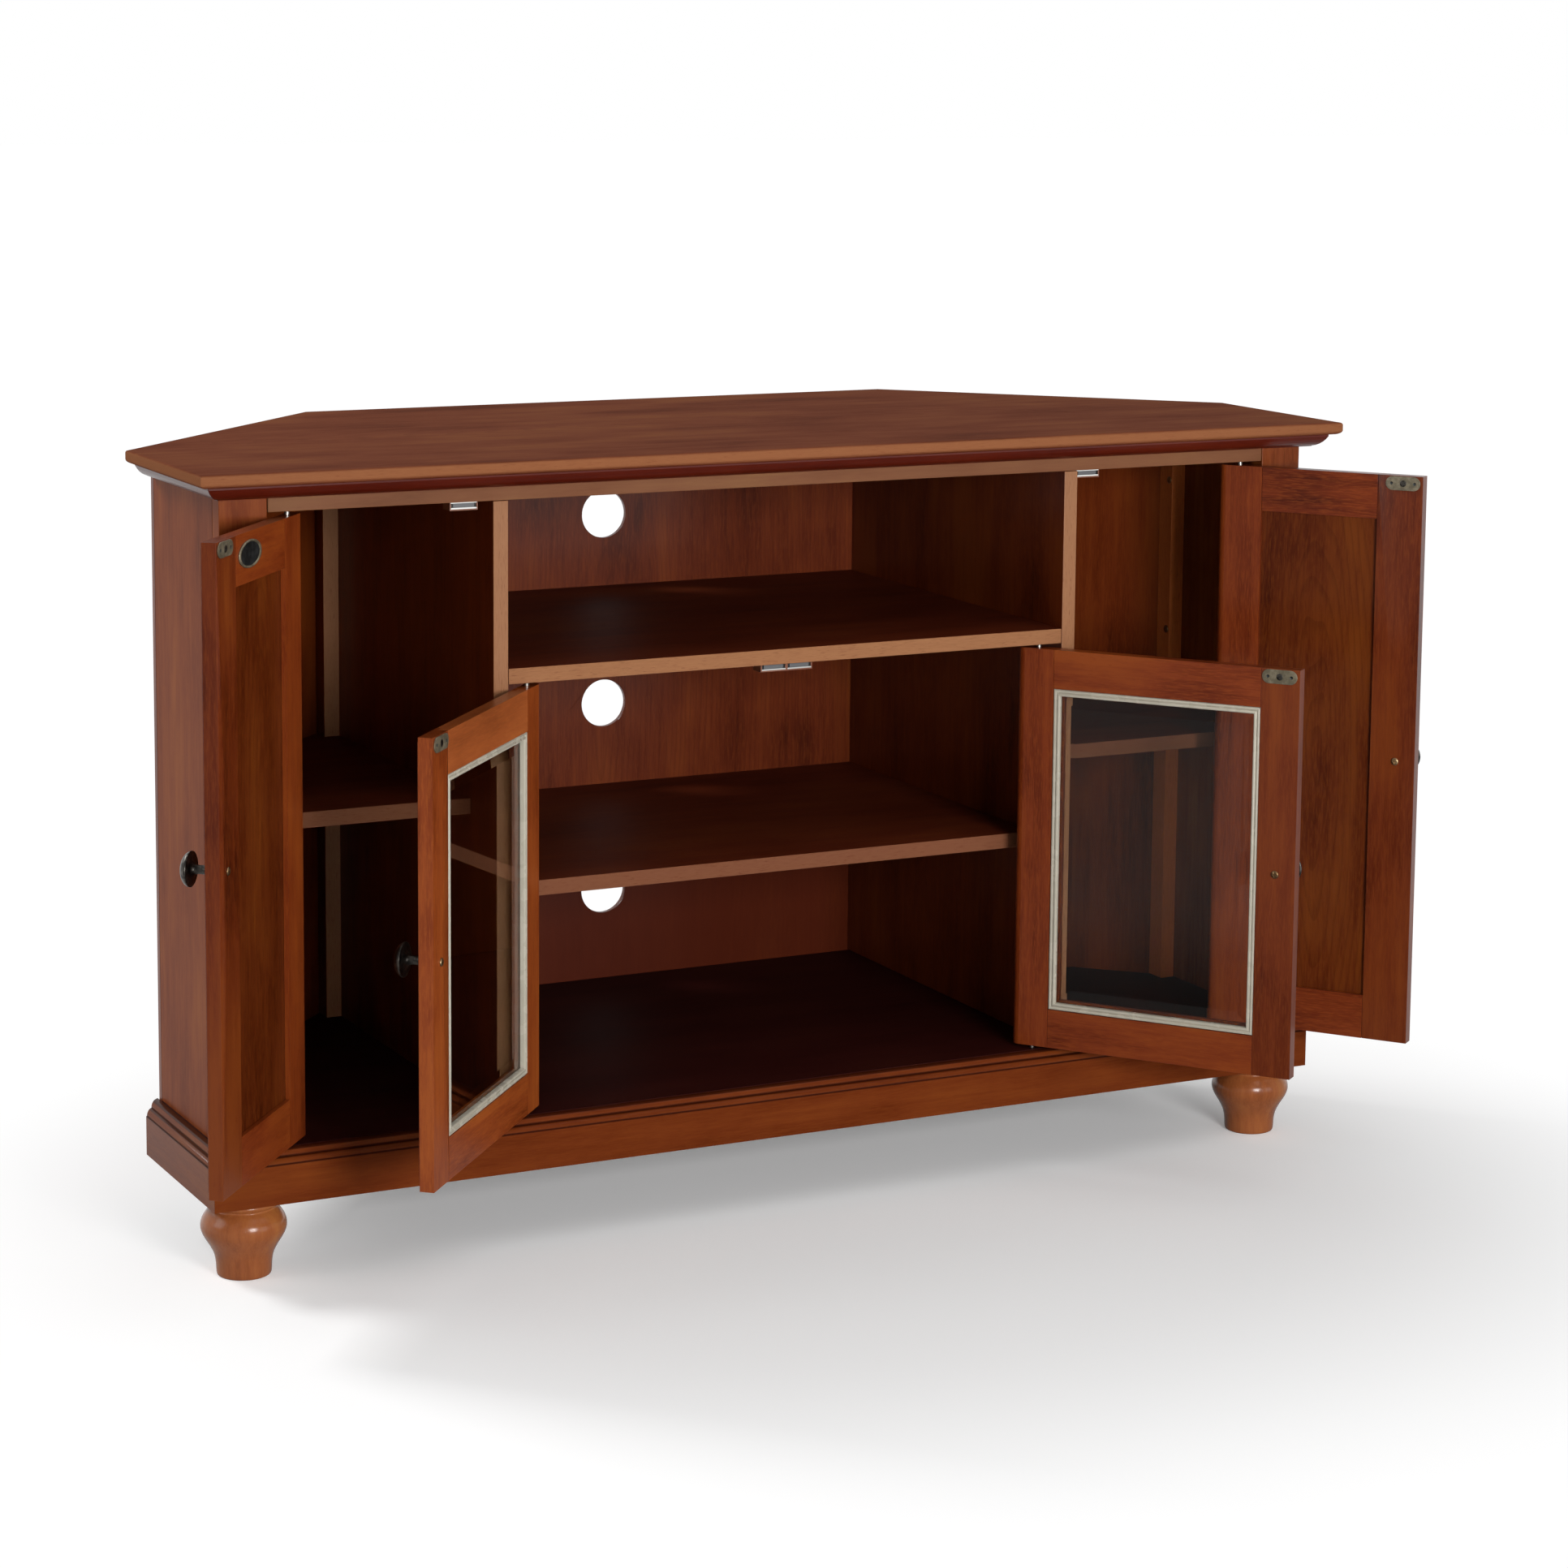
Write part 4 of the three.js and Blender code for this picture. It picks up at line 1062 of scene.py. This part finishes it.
# %% Stamp the strike plates
plate_screw_radius = 0.85 * screw_radius
plate_screw_height = 0.3 * MM
for name, door in doors.items():
    low, high = door.span(f"{name}_strike_plate")
    x, z = (low[0] + high[0]) / 2, (low[2] + high[2]) / 2
    on_back = door.spot(x, low[1], z)
    outline = stadium((high[0] - low[0]) / 2, (high[2] - low[2]) / 2)
    plate = prism(f"{name}_stamped_plate", outline, 0, plate_thickness, on_back)
    for off_middle in (-dimple_place, dimple_place):
        sink = [(r * dimple_radius, h * plate_thickness) for r, h in dimple_shares]
        in_dimple = door.spot(x + off_middle, low[1], z)
        carve(plate, spun("dimple", sink, dimple_sides, in_dimple))
    soften(plate, plate_round)
    fit(plate, door.body, nickel, field)
    darken_dimples(plate, Vector(on_back(0, 0, 0)), door.along)
    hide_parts(f"{name}_strike_plate")
    on_plate = door.spot(x, low[1] + plate_thickness, z)
    screw_head(
        f"{name}_plate_screw", plate_screw_radius, plate_screw_height, on_plate, pewter, door.body,
    )
print("strike plates fitted:", len(doors))

# %% [markdown]
# ## Glazing beads
#
# A strip of clear plastic with a grooved crown is mitred round each pane and holds it in its
# rebate. The frame's bead has flat faces. A curve with a profile could give the round ones, but it
# pinches where it turns a sharp corner, so the section is led round the four corners by points.

# %% Lead a section round a pane
crease_above = math.radians(35)


def mitred_loop(name, section, low, high, place):
    """A closed strip round a rectangle. The section's points are (inset, height)."""
    rings = []
    for inset, height in section:
        left, right = low[0] + inset, high[0] - inset
        bottom, top = low[2] + inset, high[2] - inset
        corners = [(left, bottom), (right, bottom), (right, top), (left, top)]
        rings.append([place(x, height, z) for x, z in corners])
    strip = lofted(name, rings, around=True)
    strip.data.shade_smooth()
    strip.data.set_sharp_from_angle(angle=crease_above)
    return strip


print("creases stay sharp above", round(math.degrees(crease_above)), "degrees")

# %% The two glazing beads
bead_width = 7 * MM
crown_shares = [(0, 0.7), (0.06, 0.9), (0.22, 1), (0.4, 0.92), (0.5, 0.74)]
crown_shares += [(1 - across, height) for across, height in crown_shares[-2::-1]]
for side in SIDES:
    door = doors[f"glass_{side}"]
    low, high = door.span(f"glass_{side}_glazing_bead")
    thickness = high[1] - low[1]
    crown = smooth_outline(crown_shares, 3)
    section = [(0, low[1])]
    section += [(x * bead_width, low[1] + y * thickness) for x, y in crown]
    section += [(bead_width, low[1])]
    strip = mitred_loop(f"glass_{side}_grooved_bead", section, low, high, door.place)
    fit(strip, door.body, bead)
    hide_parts(f"glass_{side}_glazing_bead")
print("beads led round", bead_width, "m wide and", round(thickness, 4), "m thick")

# %% [markdown]
# ## The badge
#
# The left outer door has an oval badge on the back of its top rail: a raised nickel rim round a
# plain blackened field. It could be a round one scaled one way. Here its points are squeezed into
# an oval while they are spun, so the piece needs no scale of its own.

# %% The oval badge
badge_length = 54.6 * MM
badge_height = 25 * MM
badge_from_hinge = 136.3 * MM
badge_lift = 2.8 * MM  # above the rail's middle
badge_sides = 72
badge_field = 0.84  # the share of the badge inside its rim
badge_rings = [  # shares of the badge's half length, and heights in millimetres
    (1, 0), (1, 0.9), (0.97, 1.5), (0.93, 1.7), (0.88, 1.5), (0.86, 0.9), (badge_field, 0.8),
    (0.02, 0.8),
]
door = doors["outer_left"]
rail_low, rail_high = door.span("outer_left_top_rail")
badge_x = door.span("outer_left_hinge_stile")[0][0] + badge_from_hinge
badge_z = (rail_low[2] + rail_high[2]) / 2 + badge_lift


def on_rail(across, up, out):
    lift = up * badge_height / badge_length
    return door.place(badge_x + across, rail_high[1] + out, badge_z + lift)


outline = [(share * badge_length / 2, height * MM) for share, height in badge_rings]
badge = spun("outer_left_badge", outline, badge_sides, on_rail)
fit(badge, door.body, nickel, field)
for face in badge.data.polygons:
    reach = (Vector(face.center) - Vector(on_rail(0, 0, 0))).dot(door.along)
    lift = (face.center[2] - badge_z) * badge_length / badge_height
    if math.hypot(reach, lift) < badge_length / 2 * badge_field:
        face.material_index = 1
print("badge at", round(badge_x, 4), "from the pivot")

# %% [markdown]
# ## Screws in the corner cleats
#
# Each side's cleat is held by two screws, whose heads show on its inner face. The knob screws' head
# serves again, turned to face across the cabinet.

# %% Cleat screws
cleat_screw_heights = (672 * MM, 510 * MM)
cleat_screw_depth = 238 * MM  # behind the top's front edge
cleat_screw_proud = 1.2 * MM
for side, way in zip(SIDES, (1, -1)):
    low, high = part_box(f"side_panel_{side}")
    face_x = high[0] if way > 0 else low[0]
    for number, height in enumerate(cleat_screw_heights):

        def on_cleat(across, up, out):
            y = front_y + cleat_screw_depth + across
            return (face_x + way * out, y, floor_z + height + up)

        screw_head(
            f"cleat_screw_{side}_{number}", screw_radius, cleat_screw_proud, on_cleat, steel,
            "carcass",
        )
print("screws in each cleat:", len(cleat_screw_heights))

# %% [markdown]
# ## What the camera sees
#
# The photograph has no background: it is white all over, and only the cabinet's soft shadow shows
# on the floor. More light would whiten the floor, but the cabinet too. So floor and world are
# lifted to white only where the camera sees them, straight or by way of glass and lacquer. What is
# mirrored from in front of the cabinet is the dim room there.

# %% Masks for the floor and the world
front_glow = 0.34  # how bright the dim room in front shows in what is glossy


def seen_directly(tree, northing, start, end):
    """Two masks: what the camera sees, also by way of mirrors and glass, and what of that is the
    front seen in a reflection. A ray that has left a pane may have been mirrored inside it."""
    camera_ray, glossy, through = [
        tree.node("ShaderNodeLightPath", output=f"Is {kind} Ray")
        for kind in ("Camera", "Glossy", "Transmission")
    ]
    mirrorings = tree.node("ShaderNodeLightPath", output="Glossy Depth")
    indirect = glossy.maths("MAXIMUM", glossy, through)
    mirrored = indirect * mirrorings.maths("MINIMUM", mirrorings, 1)
    dim = mirrored * (1 - fade(northing, start, end))
    seen = camera_ray.maths("MAXIMUM", camera_ray, indirect) - dim * (1 - front_glow)
    return seen, dim


print("the room in front is dimmed by", round(1 - front_glow, 2))

# %% A pale floor
floor_half = 30
floor_mesh = bpy.data.meshes.new("floor")
corners = [(x * floor_half, y * floor_half, 0) for x, y in ((-1, -1), (1, -1), (1, 1), (-1, 1))]
floor_mesh.from_pydata(corners, [], [(0, 1, 2, 3)])
floor = bpy.data.objects.new("floor", floor_mesh)
floor.location.z = floor_z
scene.collection.objects.link(floor)
print("floor at", round(floor_z, 4))

# %% [markdown]
# ## The floor's finish
#
# Close to the cabinet the floor has to be dull enough to take a shadow, and far off it has to end
# in the white of the picture without a line. Two floors could be laid. One finish does it with the
# distance from the middle of the shadow: bare floor near it, and plain white light far from it.

# %% Fade the floor into white
white_lift = 0.15  # how much of the white lies on the floor even in the shadow
shadow_middle = (0.05, -0.15, 0)
shadow_end, white_start = 0.4, 1.04  # from the shadow's middle
dim_front, dim_back = -0.6, 0.6
dull, pale = (0.7, 0.7, 0.7, 1), (0.95, 0.95, 0.95, 1)

ground = Finish("floor")
place = place_of(ground)
distance = {"operation": "DISTANCE"}
away = ground.node("ShaderNodeVectorMath", distance, {0: place, 1: shadow_middle}, "Value")
seen, dim = seen_directly(ground, part_of(place, "Y"), dim_front, dim_back)
far = fade(away, shadow_end, white_start)
lift = seen * (white_lift + far * (1 - white_lift))
bare = blend(seen, dull, pale)
bare = blend(far * seen, bare, BLACK)
bare = blend(dim, bare, BLACK)
floor_mesh.materials.append(ground.surface(
    Base_Color=bare, Roughness=0.8, Specular_IOR_Level=0.1,
    Emission_Color=blend(lift, BLACK, WHITE), Emission_Strength=1.0,
))
print("the floor is white from", white_start, "m on")

# %% [markdown]
# ## Lamps
#
# The cabinet was lit by large soft lamps: a strong one behind it on the left, which draws the
# shadow forward and skims the top, and one in front for the insides. Lamps without a size would
# give hard shadows, so each is a square that shines all over, turned to the cabinet's middle.

# %% Large soft lamps
lamp_aim = Vector((0, 0.1, 0.4))
lamps = {  # place, size in metres, power in watts
    "window behind left": ((-2.4, 2.6, 3.0), 1.2, 105),
    "softbox left": ((-3.6, 0.2, 1.7), 1.6, 20),
    "softbox front": ((-0.16, -3.4, 1.0), 0.9, 88),
    "fill above": ((0.9, -1.5, 3.4), 2.4, 21),
    "panel front right": ((2.2, -3.8, 0.9), 1.5, 14),
}
for name, (place, size, power) in lamps.items():
    light = bpy.data.lights.new(name, "AREA")
    light.shape = "SQUARE"
    light.size = size
    light.energy = power
    lamp = bpy.data.objects.new(name, light)
    lamp.location = place
    lamp.rotation_mode = "QUATERNION"
    lamp.rotation_quaternion = (lamp_aim - Vector(place)).to_track_quat("-Z", "Y")
    scene.collection.objects.link(lamp)
print("lamps lit:", len(lamps))

# %% [markdown]
# ## The world
#
# The world is the room round the cabinet. Its light reaches into the bays where no lamp does, so it
# has a little strength for all rays, and full white only for what the camera sees. The Standard
# view shows colours as they are written.

# %% A studio world
ambient = 0.13
world_dim_front, world_dim_back = -0.15, 0.3

world = bpy.data.worlds.new("studio")
world.use_nodes = True
scene.world = world
studio = Tree(world.node_tree)
northing = part_of(studio.node("ShaderNodeTexCoord", output="Generated"), "Y")
seen, dim = seen_directly(studio, northing, world_dim_front, world_dim_back)
background = world.node_tree.nodes["Background"]
studio.set(background, {"Color": WHITE, "Strength": ambient + (1 - ambient) * seen})
scene.view_settings.view_transform = "Standard"
print("the world gives", ambient, "of full white to the cabinet")
